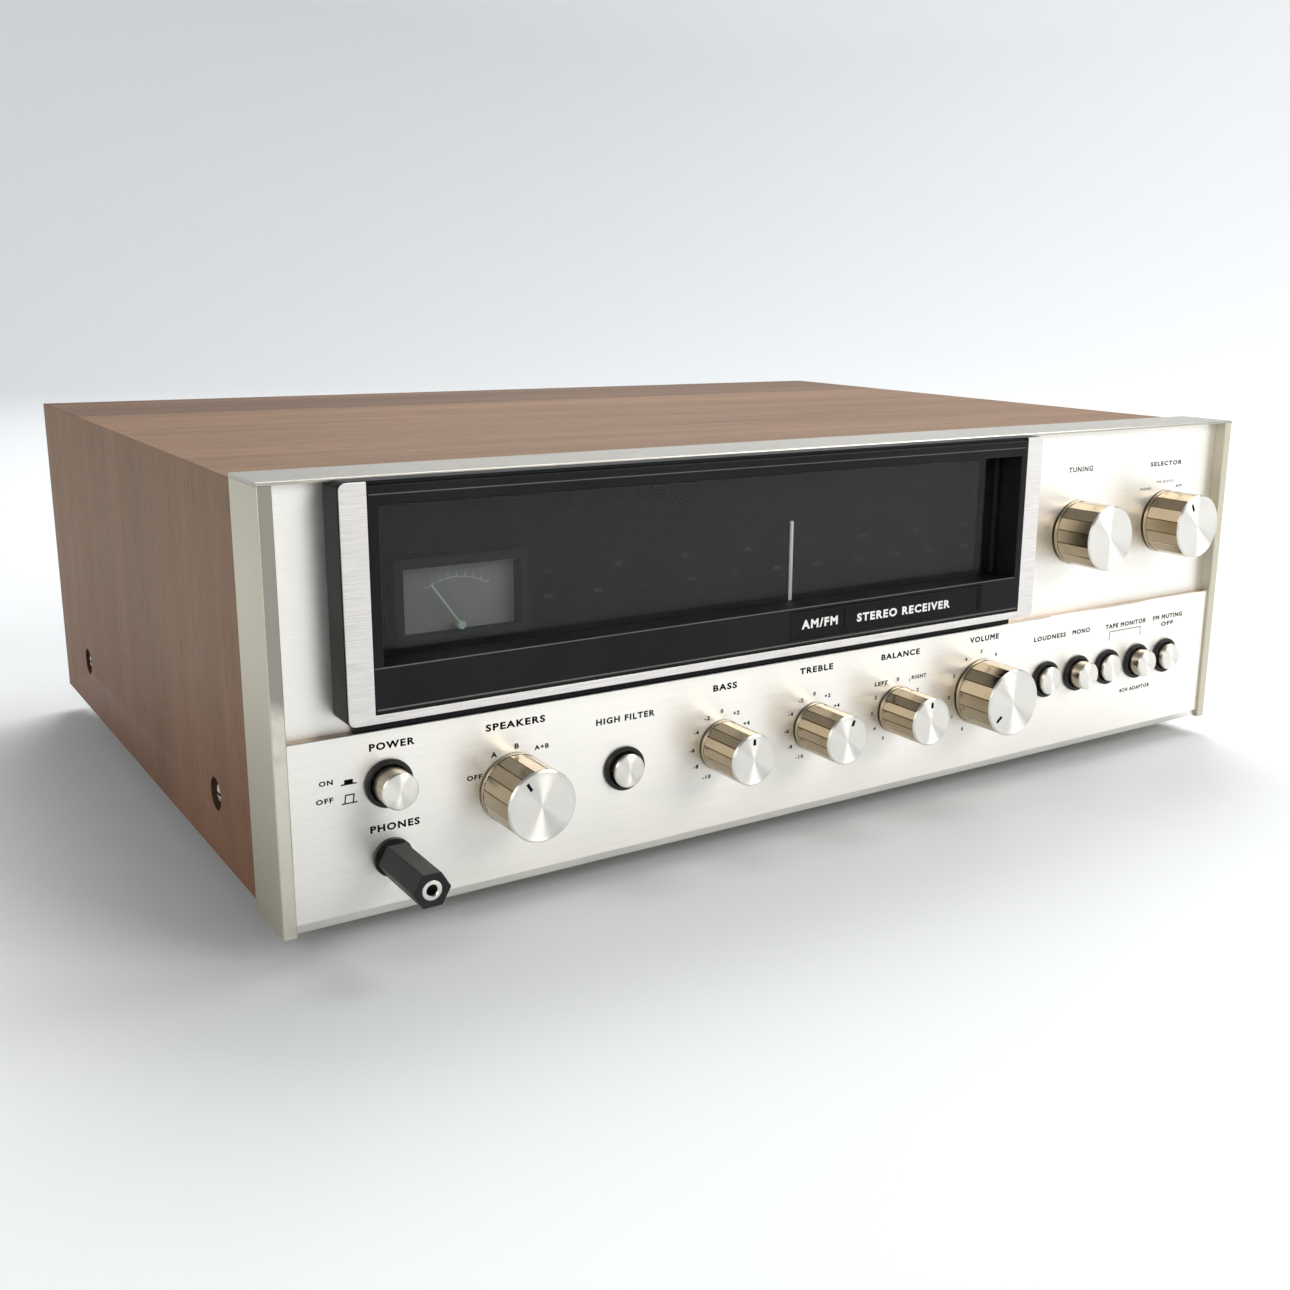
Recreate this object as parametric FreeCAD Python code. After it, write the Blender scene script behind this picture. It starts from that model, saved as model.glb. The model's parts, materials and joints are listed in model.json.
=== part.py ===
import FreeCAD, Part

import math
import os

# Vintage stereo receiver in a wooden sleeve, millimetres.
# +Z up, +X to the right of someone facing the front panel, +Y towards the rear.
# Origin: centre of the outer box, on the surface that the feet stand on.
# Depths are counted from the front plane of the metal trim: depth(0) is that plane.

V = FreeCAD.Vector

# ---- driving dimensions ----------------------------------------------------------------
FRONT = -157.8            # Y of the trim's front plane
WIDTH = 460.0
FOOT_HEIGHT = 13.0
TOTAL_HEIGHT = 154.2
FIT_GAP = 0.05            # radial clearance of running fits
ASSEMBLY_GAP = 0.1        # clearance between pieces that only lie beside each other

TRIM_BOTTOM = 8.8
TRIM_DEPTH = 27.8
SIDE_RAIL = 4.7
TOP_RAIL = 1.0

WOOD_DEPTH = 305.0
WOOD_THICK = 12.7
WOOD_TOP = 152.7
SCREW_RECESS_R = 6.0
SCREW_RECESS_DEPTH = 5.0
SCREW_R = 2.0
CASE_SCREW_PLACES = [(68.3, 37.0), (277.8, 37.0)]     # depth, height

STEEL = 1.2               # thickness of the chassis sheet
LOWER_PANEL_FRONT = 1.2
UPPER_PANEL_FRONT = 5.1
UPPER_PANEL_THICK = 2.0
LEDGE_Z = 72.6            # top edge of the lower panel
PANEL_BEVEL = 3.6
SUBPANEL_FRONT = 26.6

BEZEL_X = (-208.5, 92.8)
BEZEL_Z = (77.5, 153.9)
BEZEL_FRONT = -8.2
OVERLAY_THICK = 0.8
OVERLAY_SIDE = 8.9
OVERLAY_BOTTOM = 3.1
BEZEL_CORNER = 2.5
WINDOW_X = (-196.0, 80.8)
WINDOW_Z = (95.7, 146.2)
GLASS_FRONT = 2.3
GLASS_THICK = 2.0
NAMEPLATE_X = (-37.2, 61.6)
NAMEPLATE_Z = (83.2, 94.2)
SCALE_FRONT = 16.0

METER_X = (-185.5, -137.5)
METER_Z = (96.6, 125.4)
METER_WINDOW_X = (-182.5, -140.5)
METER_WINDOW_Z = (99.2, 122.2)
METER_FRONT = 8.0
NEEDLE_PIVOT = (-161.5, 101.2)
NEEDLE_LENGTH = 18.0
NEEDLE_REST_DEG = -35.0

POINTER_X = -24.2
POINTER_TOP = 125.2
RAIL_X = (-137.5, 80.2)
RAIL_POST = 2.4
RAIL_DEPTH = 12.6
RAIL_Z = 88.0
RAIL_R = 1.5

# name: x, z, radius of the knob, depth of the panel it stands on, length in front of it
KNOBS = {
    "speakers": (-148.2, 44.0, 12.6, LOWER_PANEL_FRONT, 21.5),
    "bass": (-61.4, 44.2, 9.8, LOWER_PANEL_FRONT, 21.3),
    "treble": (-17.2, 44.2, 9.8, LOWER_PANEL_FRONT, 21.3),
    "balance": (26.2, 44.3, 9.8, LOWER_PANEL_FRONT, 21.3),
    "volume": (73.6, 44.6, 14.3, LOWER_PANEL_FRONT, 20.3),
    "tuning": (131.4, 108.5, 14.2, UPPER_PANEL_FRONT, 20.4),
    "selector": (191.0, 108.9, 14.4, UPPER_PANEL_FRONT, 20.3),
}
# angle of the index line at rest, degrees clockwise from straight up
INDEX_ANGLE = {
    "speakers": -32.0,
    "bass": 0.0,
    "treble": 22.0,
    "balance": 0.0,
    "volume": -128.0,
    "tuning": 0.0,
    "selector": -27.0,
}
KNOB_PANEL_GAP = 0.6
KNOB_FLUTES = 16
KNOB_FLUTE_DEPTH = 0.35
KNOB_SKIRT = 2.6
KNOB_GROOVE = 0.5
KNOB_CHAMFER = 0.7
SHAFT_R = 3.0
SHAFT_IN_KNOB = 13.0
BUSH_R = 4.4
BUSH_FRONT = 18.0
CONTROL_R = 12.0
CONTROL_LENGTH = 14.0
NUT_ACROSS = 12.0
NUT_THICK = 2.4
PANEL_SHAFT_HOLE = 4.8

# name: x, z, length in front of the panel at rest
BUTTONS = {
    "power": (-192.8, 54.4, 10.6),
    "high_filter": (-104.2, 43.0, 4.6),
    "loudness": (114.4, 44.2, 4.4),
    "mono": (134.8, 44.2, 7.8),
    "tape_1": (155.2, 44.2, 4.0),
    "tape_2": (175.6, 44.2, 7.4),
    "fm_muting": (196.0, 44.2, 4.8),
}
BUTTON_R = 6.2
BUTTON_DEPTH = 10.0       # how far the cap reaches behind the trim's front plane
BUTTON_COLLAR_R = 8.2
BUTTON_COLLAR_OUT = 1.6
PLUNGER_R = 2.0
PLUNGER_END = 40.0

JACK_X = -192.5
JACK_Z = 28.9
PLUG_R = 3.15
SOCKET_R = 1.8
SOCKET_DEPTH = 15.0
ADAPTER_FRONT = -31.2
ADAPTER_BACK = -2.4
ADAPTER_CORNER_R = 6.4
BARREL_R = 3.4
PLUG_END = 27.0

CORD_R = 5.0              # radius of the cord groove on the tuning shaft
DRUM_R = 36.0
DRUM_X = 48.0
DRUM_Z = 96.0
DRUM_DEPTHS = (46.0, 52.0)
FLYWHEEL_R = 21.0
FLYWHEEL_DEPTHS = (30.0, 41.0)

REAR_PANEL_BACK = 322.8
REAR_Z = (14.3, 139.7)
ANTENNA_PIVOT = (195.0, 331.0)        # x, depth
ANTENNA_ROD_R = 7.0
ANTENNA_ROD_DEPTH = 339.8
ANTENNA_Z = 125.0
ANTENNA_PIN_R = 2.0
CORD_INLET = (-196.0, 112.0)
CORD_INLET_R = 3.5

FEET = [(-188.0, 58.0), (188.0, 58.0), (-188.0, 296.0), (188.0, 296.0)]   # x, depth
FOOT_R = 14.0

# worked out from the above
HALF = WIDTH / 2.0
INNER_HALF = HALF - SIDE_RAIL
WOOD_INNER = HALF - WOOD_THICK
WOOD_FRONT = TRIM_DEPTH
WOOD_REAR = TRIM_DEPTH + WOOD_DEPTH
TRIM_SPLIT = TOTAL_HEIGHT - TOP_RAIL
SUBPANEL_BACK = SUBPANEL_FRONT + STEEL


# ---- small helpers -------------------------------------------------------------------
def depth(value):
    """Y of a place that many millimetres behind the trim's front plane."""
    return FRONT + value


def box(x, d, z):
    """Box from (low, high) pairs: x, depth and z."""
    corner = V(x[0], depth(d[0]), z[0])
    return Part.makeBox(x[1] - x[0], d[1] - d[0], z[1] - z[0], corner)


def rod(x, z, radius, d):
    """Cylinder along Y between two depths."""
    return Part.makeCylinder(radius, d[1] - d[0], V(x, depth(d[0]), z), V(0, 1, 0))


def rod_x(x, d, z, radius):
    return Part.makeCylinder(radius, x[1] - x[0], V(x[0], depth(d), z), V(1, 0, 0))


def rod_z(x, d, z, radius):
    return Part.makeCylinder(radius, z[1] - z[0], V(x, depth(d), z[0]), V(0, 0, 1))


def side_span(sign, low, high):
    """X span between two distances from the middle, on the right (+1) or the left (-1)."""
    return (low, high) if sign > 0 else (-high, -low)


def prism_y(points, d):
    """Extrude an outline of (x, z) points between two depths."""
    corners = [V(x, depth(d[0]), z) for x, z in points]
    wire = Part.makePolygon(corners + corners[:1])
    return Part.Face(wire).extrude(V(0, d[1] - d[0], 0))


def prism_x(points, x):
    """Extrude an outline of (depth, z) points along X."""
    corners = [V(x[0], depth(d), z) for d, z in points]
    wire = Part.makePolygon(corners + corners[:1])
    return Part.Face(wire).extrude(V(x[1] - x[0], 0, 0))


def hexagon(x, z, corner_radius, d):
    corners = []
    for step in range(6):
        angle = math.radians(60 * step)
        corners.append((x + corner_radius * math.cos(angle), z + corner_radius * math.sin(angle)))
    return prism_y(corners, d)


def turned(x, z, profile):
    """Solid of revolution about an axis along Y, from (radius, depth) points."""
    corners = [V(x + radius, depth(d), z) for radius, d in profile]
    wire = Part.makePolygon(corners + corners[:1])
    return Part.Face(wire).revolve(V(x, depth(0), z), V(0, 1, 0), 360)


def edges_along(shape, axis):
    """Straight edges that run along one axis."""
    picked = []
    for edge in shape.Edges:
        if edge.Curve.TypeId == "Part::GeomLine":
            direction = edge.tangentAt(edge.FirstParameter)
            if abs(abs(direction.dot(axis)) - 1) < 1e-6:
                picked.append(edge)
    return picked


def export(node, *solids):
    shape = solids[0] if len(solids) == 1 else Part.makeCompound(list(solids))
    shape.exportStep("parts/" + node + ".step")


# ---- wooden sleeve ---------------------------------------------------------------------
def wood_top():
    corners = [
        (-HALF, WOOD_TOP),
        (HALF, WOOD_TOP),
        (WOOD_INNER, WOOD_TOP - WOOD_THICK),
        (-WOOD_INNER, WOOD_TOP - WOOD_THICK),
    ]
    return prism_y(corners, (WOOD_FRONT, WOOD_REAR))


def wood_side(sign):
    corners = [
        (sign * HALF, FOOT_HEIGHT),
        (sign * HALF, WOOD_TOP),
        (sign * WOOD_INNER, WOOD_TOP - WOOD_THICK),
        (sign * WOOD_INNER, FOOT_HEIGHT),
    ]
    board = prism_y(corners, (WOOD_FRONT, WOOD_REAR))
    recess = side_span(sign, HALF - SCREW_RECESS_DEPTH, HALF + 1)
    bore = side_span(sign, WOOD_INNER - 1, HALF)
    for d, z in CASE_SCREW_PLACES:
        board = board.cut(rod_x(recess, d, z, SCREW_RECESS_R))
        board = board.cut(rod_x(bore, d, z, SCREW_R + ASSEMBLY_GAP))
    return board


def case_screw(sign, d, z):
    """Screw with a cross slot, on a plain washer, its tip in the chassis flange."""
    seat = HALF - SCREW_RECESS_DEPTH
    head_back = seat + 0.8
    head_front = seat + 3.0
    washer = rod_x(side_span(sign, seat, head_back), d, z, 4.9)
    washer = washer.cut(rod_x(side_span(sign, seat - 1, seat + 2), d, z, SCREW_R + 0.15))
    head = rod_x(side_span(sign, head_back, head_front), d, z, 3.7)
    rim = [edge for edge in head.Edges if abs(edge.BoundBox.Center.x) > head_front - 0.1]
    head = head.makeFillet(1.0, rim)
    slot_x = side_span(sign, seat + 1.9, head_front + 0.2)
    head = head.cut(box(slot_x, (d - 2.2, d + 2.2), (z - 0.4, z + 0.4)))
    head = head.cut(box(slot_x, (d - 0.4, d + 0.4), (z - 2.2, z + 2.2)))
    shank = rod_x(side_span(sign, WOOD_INNER - 3.5, head_back + 0.1), d, z, SCREW_R)
    return [washer, head.fuse(shank)]


def foot(x, d):
    """Moulded foot, slightly tapered, with a counterbore for its screw."""
    body = Part.makeCone(FOOT_R - 1.6, FOOT_R, FOOT_HEIGHT, V(x, depth(d), 0), V(0, 0, 1))
    body = body.makeFillet(1.2, [edge for edge in body.Edges if edge.BoundBox.ZMax < 0.1])
    counterbore = rod_z(x, d, (-1, 7.0), 5.0)
    bore = rod_z(x, d, (0, FOOT_HEIGHT + 1), SCREW_R + ASSEMBLY_GAP)
    return body.cut(counterbore).cut(bore)


def foot_screw(x, d):
    head = rod_z(x, d, (4.4, 7.0), 4.0)
    head = head.cut(box((x - 4.5, x + 4.5), (d - 0.5, d + 0.5), (4.0, 5.4)))
    return head.fuse(rod_z(x, d, (6.9, FOOT_HEIGHT + 5.0), SCREW_R))


# ---- chassis ---------------------------------------------------------------------------
def bottom_cover():
    """Perforated steel sheet that closes the case from below."""
    low = FOOT_HEIGHT
    half = WOOD_INNER - 0.2
    plate = box((-half, half), (WOOD_FRONT + 1, REAR_PANEL_BACK - 1.4), (low, low + STEEL))
    for x, d in FEET:
        plate = plate.cut(rod_z(x, d, (low - 1, low + 3), SCREW_R + ASSEMBLY_GAP))
    for row in (120.0, 190.0):
        for step in range(12):
            x = -132.0 + 24.0 * step
            slot = box((x - 1.5, x + 1.5), (row, row + 50.0), (low - 1, low + 3))
            plate = plate.cut(slot)
    return plate


def chassis_tray():
    """Folded sheet: a floor with two side flanges."""
    low = FOOT_HEIGHT + STEEL + 0.1
    half = WOOD_INNER - 0.3
    wall = half - STEEL
    outline = [
        (-half, low),
        (half, low),
        (half, low + 42),
        (wall, low + 42),
        (wall, low + STEEL),
        (-wall, low + STEEL),
        (-wall, low + 42),
        (-half, low + 42),
    ]
    tray = prism_y(outline, (SUBPANEL_BACK + 0.1, REAR_PANEL_BACK - 1.4))
    for d, z in CASE_SCREW_PLACES:
        tray = tray.cut(rod_x((-WOOD_INNER - 1, WOOD_INNER + 1), d, z, SCREW_R + ASSEMBLY_GAP))
    for x, d in FEET:
        tray = tray.cut(rod_z(x, d, (low - 1, low + 3), SCREW_R + ASSEMBLY_GAP))
    return tray


def rear_panel():
    front = REAR_PANEL_BACK - STEEL
    panel = box((-WOOD_INNER + 0.3, WOOD_INNER - 0.3), (front, REAR_PANEL_BACK), REAR_Z)
    for step in range(24):
        x = -118.0 + 7.0 * step
        panel = panel.cut(box((x - 1.4, x + 1.4), (front - 1, REAR_PANEL_BACK + 1), (104.0, 132.0)))
    return panel.cut(rod(CORD_INLET[0], CORD_INLET[1], 6.0, (front - 1, REAR_PANEL_BACK + 1)))


def antenna_bracket():
    """U bracket riveted to the rear panel, with the pin that the antenna's arm turns on."""
    x, d = ANTENNA_PIVOT
    reach = 14.0
    low = ANTENNA_Z - reach
    high = ANTENNA_Z + reach
    bracket = box((x - 4, x + 4), (REAR_PANEL_BACK, REAR_PANEL_BACK + STEEL), (low, high))
    for edge in (low, high - 2.0):
        bracket = bracket.fuse(box((x - 4, x + 4), (REAR_PANEL_BACK, d + 4), (edge, edge + 2.0)))
    return bracket.fuse(rod_z(x, d, (low + 1, high - 1), ANTENNA_PIN_R))


# ---- front ---------------------------------------------------------------------------
def top_rail():
    """Rail across the top with a thin lip along its front edge."""
    outline = [
        (0, TRIM_SPLIT),
        (TRIM_DEPTH, TRIM_SPLIT),
        (TRIM_DEPTH, TOTAL_HEIGHT),
        (1.4, TOTAL_HEIGHT),
        (1.1, TOTAL_HEIGHT - 0.35),
        (0.9, TOTAL_HEIGHT - 0.35),
        (0.6, TOTAL_HEIGHT),
        (0.3, TOTAL_HEIGHT),
        (0, TOTAL_HEIGHT - 0.3),
    ]
    return prism_x(outline, (-HALF, HALF))


def side_rail(sign):
    x = (INNER_HALF, HALF) if sign > 0 else (-HALF, -INNER_HALF)
    rail = box(x, (0, TRIM_DEPTH), (TRIM_BOTTOM, TRIM_SPLIT))
    front = [edge for edge in edges_along(rail, V(0, 0, 1)) if edge.BoundBox.YMax < depth(0.1)]
    return rail.makeChamfer(0.35, front)


def button_hole(x, z, d):
    return rod(x, z, BUTTON_R + 1.2, d)


def lower_panel():
    """Thick brushed panel with a polished top edge and a bevel along its foot."""
    low = TRIM_BOTTOM
    back = UPPER_PANEL_FRONT
    front = LOWER_PANEL_FRONT
    outline = [
        (front, low + PANEL_BEVEL),
        (front + 2.0, low),
        (back, low),
        (back, LEDGE_Z),
        (front + 0.3, LEDGE_Z),
        (front, LEDGE_Z - 0.3),
    ]
    panel = prism_x(outline, (-INNER_HALF + 0.05, INNER_HALF - 0.05))
    span = (front - 1, back + 1)
    for name, (x, z, radius, panel_depth, length) in KNOBS.items():
        if panel_depth == front:
            panel = panel.cut(rod(x, z, PANEL_SHAFT_HOLE, span))
    for x, z, length in BUTTONS.values():
        panel = panel.cut(button_hole(x, z, span))
    return panel.cut(rod(JACK_X, JACK_Z, 4.8, span))


def upper_panel():
    """Thin brushed panel with the dial window's opening; its foot runs behind the lower panel."""
    front = UPPER_PANEL_FRONT
    back = front + UPPER_PANEL_THICK
    panel = box((-INNER_HALF + 0.05, INNER_HALF - 0.05), (front, back), (LEDGE_Z - 6.0, TRIM_SPLIT - 0.05))
    panel = panel.cut(box((WINDOW_X[0], WINDOW_X[1]), (front - 1, back + 1), (82.0, 149.0)))
    for name in ("tuning", "selector"):
        x, z = KNOBS[name][:2]
        panel = panel.cut(rod(x, z, PANEL_SHAFT_HOLE, (front - 1, back + 1)))
    return panel


def front_subpanel():
    """Steel plate for the controls; it closes the back of the trim, and its lip the underside."""
    plate_x = (-INNER_HALF + 0.1, INNER_HALF - 0.1)
    low = TRIM_BOTTOM + 4.2
    plate = box(plate_x, (SUBPANEL_FRONT, SUBPANEL_BACK), (low, TRIM_SPLIT - 0.1))
    plate = plate.fuse(box(plate_x, (UPPER_PANEL_FRONT + 0.1, SUBPANEL_BACK), (low, low + STEEL)))
    span = (SUBPANEL_FRONT - 1, SUBPANEL_BACK + 1)
    for x, z, radius, panel_depth, length in KNOBS.values():
        plate = plate.cut(rod(x, z, BUSH_R + ASSEMBLY_GAP, span))
    for x, z, length in BUTTONS.values():
        plate = plate.cut(rod(x, z, PLUNGER_R + 0.6, span))
    return plate.cut(rod(JACK_X, JACK_Z, 4.8, span))


def bezel_block(inset, d):
    """Rounded rectangle of the tuner bezel, between two depths."""
    x = (BEZEL_X[0] + inset, BEZEL_X[1] - inset)
    z = (BEZEL_Z[0] + inset, BEZEL_Z[1] - inset)
    block = box(x, d, z)
    return block.makeFillet(BEZEL_CORNER - inset, edges_along(block, V(0, 1, 0)))


def inner_opening(d):
    x = (BEZEL_X[0] + OVERLAY_SIDE, BEZEL_X[1] - OVERLAY_SIDE)
    return box(x, d, (BEZEL_Z[0] + OVERLAY_BOTTOM, BEZEL_Z[1] - 1.2))


def rail_notch():
    """Space of the top rail, which the bezel and its frame reach under."""
    x = (BEZEL_X[0] - 1, BEZEL_X[1] + 1)
    d = (-ASSEMBLY_GAP, UPPER_PANEL_FRONT + 1)
    return box(x, d, (TRIM_SPLIT - ASSEMBLY_GAP, TOTAL_HEIGHT))


def tuner_bezel():
    front = BEZEL_FRONT + OVERLAY_THICK
    block = bezel_block(0.0, (front, UPPER_PANEL_FRONT))
    block = block.cut(inner_opening((front - 1, UPPER_PANEL_FRONT + 1)))
    return block.cut(rail_notch())


def bezel_overlay():
    """Brushed strip on the bezel's left, right and lower edges."""
    strip = bezel_block(0.25, (BEZEL_FRONT, BEZEL_FRONT + OVERLAY_THICK))
    strip = strip.cut(inner_opening((BEZEL_FRONT - 1, BEZEL_FRONT + 2)))
    x = (BEZEL_X[0] + OVERLAY_SIDE, BEZEL_X[1] - OVERLAY_SIDE)
    return strip.cut(box(x, (BEZEL_FRONT - 1, BEZEL_FRONT + 2), (BEZEL_Z[1] - 2.0, BEZEL_Z[1] + 1)))


def window_frame():
    """Black inner frame: bevelled band above, bar below, and the deep walls of the window."""
    gap = ASSEMBLY_GAP
    x = (BEZEL_X[0] + OVERLAY_SIDE + gap, BEZEL_X[1] - OVERLAY_SIDE - gap)
    z = (BEZEL_Z[0] + OVERLAY_BOTTOM + gap, BEZEL_Z[1] - 1.2 - gap)
    frame = box(x, (BEZEL_FRONT + 0.2, UPPER_PANEL_FRONT), z)
    frame = frame.cut(box(WINDOW_X, (BEZEL_FRONT - 1, UPPER_PANEL_FRONT + 1), WINDOW_Z))
    frame = frame.cut(rail_notch())
    recess = (BEZEL_FRONT - 1, BEZEL_FRONT + 1.2)
    return frame.cut(box(NAMEPLATE_X, recess, NAMEPLATE_Z))


def nameplate():
    """Plate in the bar's recess: two blank fields inside a raised border."""
    gap = ASSEMBLY_GAP
    x = (NAMEPLATE_X[0] + gap, NAMEPLATE_X[1] - gap)
    z = (NAMEPLATE_Z[0] + gap, NAMEPLATE_Z[1] - gap)
    top = BEZEL_FRONT + 0.35
    plate = box(x, (top, BEZEL_FRONT + 1.2), z)
    divider = NAMEPLATE_X[0] + 27.0
    left = box((x[0] + 1.0, divider - 0.5), (top - 1, top + 0.3), (z[0] + 1.0, z[1] - 1.0))
    right = box((divider + 0.5, x[1] - 1.0), (top - 1, top + 0.3), (z[0] + 1.0, z[1] - 1.0))
    return plate.cut(left).cut(right)


def dial_glass():
    gap = ASSEMBLY_GAP
    x = (WINDOW_X[0] + gap, WINDOW_X[1] - gap)
    z = (WINDOW_Z[0] + gap, WINDOW_Z[1] - gap)
    return box(x, (GLASS_FRONT, GLASS_FRONT + GLASS_THICK), z)


def dial_scale():
    x = (WINDOW_X[0] + 0.5, WINDOW_X[1] - 0.5)
    return box(x, (SCALE_FRONT, SCALE_FRONT + 1.2), (82.5, 148.5))


def pointer_rail():
    """Round rail on two posts that stand on the scale plate."""
    rail = rod_x(RAIL_X, RAIL_DEPTH, RAIL_Z, RAIL_R)
    for x in (RAIL_X[0], RAIL_X[1] - RAIL_POST):
        post = box((x, x + RAIL_POST), (RAIL_DEPTH - 1, SCALE_FRONT), (RAIL_Z - 2, RAIL_Z + 2))
        rail = rail.fuse(post)
    return rail


def dial_pointer():
    """Carriage on the rail with a thin upright blade."""
    half = 3.0
    x = (POINTER_X - half, POINTER_X + half)
    carriage = box(x, (RAIL_DEPTH - 2.6, RAIL_DEPTH + 2.6), (RAIL_Z - 2.8, RAIL_Z + 2.8))
    blade = box((POINTER_X - 0.35, POINTER_X + 0.35), (9.0, 10.2), (RAIL_Z, POINTER_TOP))
    bore = rod_x((x[0] - 1, x[1] + 1), RAIL_DEPTH, RAIL_Z, RAIL_R + FIT_GAP)
    return carriage.fuse(blade).cut(bore)


def dial_lamps():
    """Three tubular lamps above the scale."""
    lamps = []
    for centre in (-150.0, -58.0, 34.0):
        lamps.append(rod_x((centre - 15, centre + 15), 11.5, 147.9, 2.6))
    return lamps


def signal_meter():
    """Shallow housing with its window open to the front, standing on the scale plate."""
    housing = box(METER_X, (METER_FRONT, SCALE_FRONT), METER_Z)
    return housing.cut(box(METER_WINDOW_X, (METER_FRONT - 1, SCALE_FRONT - 2.0), METER_WINDOW_Z))


def meter_needle():
    x, z = NEEDLE_PIVOT
    blade = box((x - 0.3, x + 0.3), (10.4, 10.9), (z, z + NEEDLE_LENGTH))
    hub = rod(x, z, 1.4, (10.0, 13.0))
    needle = blade.fuse(hub)
    needle.rotate(V(x, depth(0), z), V(0, 1, 0), NEEDLE_REST_DEG)
    return needle


# ---- knobs and controls ----------------------------------------------------------------
def knob(name):
    """Turned knob: skirt, dark groove, fluted grip, chamfered face with an index slot."""
    x, z, radius, panel_depth, length = KNOBS[name]
    back = panel_depth - KNOB_PANEL_GAP
    face = panel_depth - length
    skirt = back - KNOB_SKIRT
    groove = skirt - KNOB_GROOVE
    profile = [
        (0, face),
        (radius - KNOB_CHAMFER, face),
        (radius, face + KNOB_CHAMFER),
        (radius, groove),
        (radius - 0.6, groove),
        (radius - 0.6, skirt),
        (radius, skirt),
        (radius, back),
        (0, back),
    ]
    body = turned(x, z, profile)
    body = body.cut(knob_flutes(x, z, radius, (face + 1.6, groove)))
    body = body.cut(rod(x, z, radius - 2.2, (back - 3.0, back + 1)))
    body = body.cut(rod(x, z, SHAFT_R + 0.02, (back - SHAFT_IN_KNOB, back + 1)))
    if name != "tuning":
        width = 0.6
        slot = box((x - width, x + width), (face - 1, face + 0.35), (z + radius * 0.52, z + radius * 0.86))
        body = body.cut(slot)
    body.rotate(V(x, depth(0), z), V(0, 1, 0), INDEX_ANGLE[name])
    return body


def knob_flutes(x, z, radius, d):
    """Wide shallow scallops round the grip, as one cutter."""
    cutters = []
    flute_r = radius * 0.42
    centre = radius + flute_r - KNOB_FLUTE_DEPTH
    for step in range(KNOB_FLUTES):
        angle = 2 * math.pi * (step + 0.5) / KNOB_FLUTES
        cutters.append(rod(x + centre * math.sin(angle), z + centre * math.cos(angle), flute_r, d))
    return cutters[0].fuse(cutters[1:])


def shaft(name):
    """Shaft from inside the knob into its control."""
    x, z, radius, panel_depth, length = KNOBS[name]
    start = panel_depth - KNOB_PANEL_GAP - SHAFT_IN_KNOB
    return rod(x, z, SHAFT_R, (start, SUBPANEL_BACK + 4.0))


def rotary_control(name):
    """Control body behind the subpanel with its threaded bush through it."""
    x, z = KNOBS[name][:2]
    body = rod(x, z, CONTROL_R, (SUBPANEL_BACK, SUBPANEL_BACK + CONTROL_LENGTH))
    bush = rod(x, z, BUSH_R, (BUSH_FRONT, SUBPANEL_BACK + 1))
    lugs = box((x - 6, x + 6), (SUBPANEL_BACK + 2, SUBPANEL_BACK + 4), (z - CONTROL_R - 5, z))
    bore = rod(x, z, SHAFT_R + FIT_GAP, (BUSH_FRONT - 1, SUBPANEL_BACK + 5))
    return body.fuse(bush).fuse(lugs).cut(bore)


def control_nut(x, z):
    nut = hexagon(x, z, NUT_ACROSS / math.sqrt(3), (SUBPANEL_FRONT - NUT_THICK, SUBPANEL_FRONT))
    return nut.cut(rod(x, z, BUSH_R + ASSEMBLY_GAP, (SUBPANEL_FRONT - 5, SUBPANEL_FRONT + 1)))


def tuning_shaft():
    """Long shaft with a flywheel and the groove that drives the dial cord."""
    x, z, radius, panel_depth, length = KNOBS["tuning"]
    start = panel_depth - KNOB_PANEL_GAP - SHAFT_IN_KNOB
    low, high = DRUM_DEPTHS
    profile = [
        (0, start),
        (SHAFT_R, start),
        (SHAFT_R, FLYWHEEL_DEPTHS[0]),
        (FLYWHEEL_R - 1, FLYWHEEL_DEPTHS[0]),
        (FLYWHEEL_R, FLYWHEEL_DEPTHS[0] + 1),
        (FLYWHEEL_R, FLYWHEEL_DEPTHS[1] - 1),
        (FLYWHEEL_R - 1, FLYWHEEL_DEPTHS[1]),
        (SHAFT_R, FLYWHEEL_DEPTHS[1]),
        (SHAFT_R, low - 1),
        (CORD_R + 2, low - 1),
        (CORD_R, low + 1),
        (CORD_R, high - 1),
        (CORD_R + 2, high + 1),
        (0, high + 1),
    ]
    return turned(x, z, profile)


def tuning_bush():
    """Bush of the tuning shaft in the subpanel."""
    x, z = KNOBS["tuning"][:2]
    bush = rod(x, z, BUSH_R, (BUSH_FRONT, SUBPANEL_BACK + 0.6))
    return bush.cut(rod(x, z, SHAFT_R + FIT_GAP, (BUSH_FRONT - 1, SUBPANEL_BACK + 2)))


def tuning_drum():
    """Grooved wheel on the variable capacitor's shaft."""
    low, high = DRUM_DEPTHS
    profile = [
        (0, low),
        (DRUM_R + 1.5, low),
        (DRUM_R, low + 2),
        (DRUM_R, high - 2),
        (DRUM_R + 1.5, high),
        (SHAFT_R, high),
        (SHAFT_R, high + 12),
        (0, high + 12),
    ]
    wheel = turned(DRUM_X, DRUM_Z, profile)
    for step in range(4):
        angle = math.radians(45 + 90 * step)
        x = DRUM_X + 20 * math.cos(angle)
        z = DRUM_Z + 20 * math.sin(angle)
        wheel = wheel.cut(rod(x, z, 8.0, (low - 1, high + 1)))
    return wheel


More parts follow.
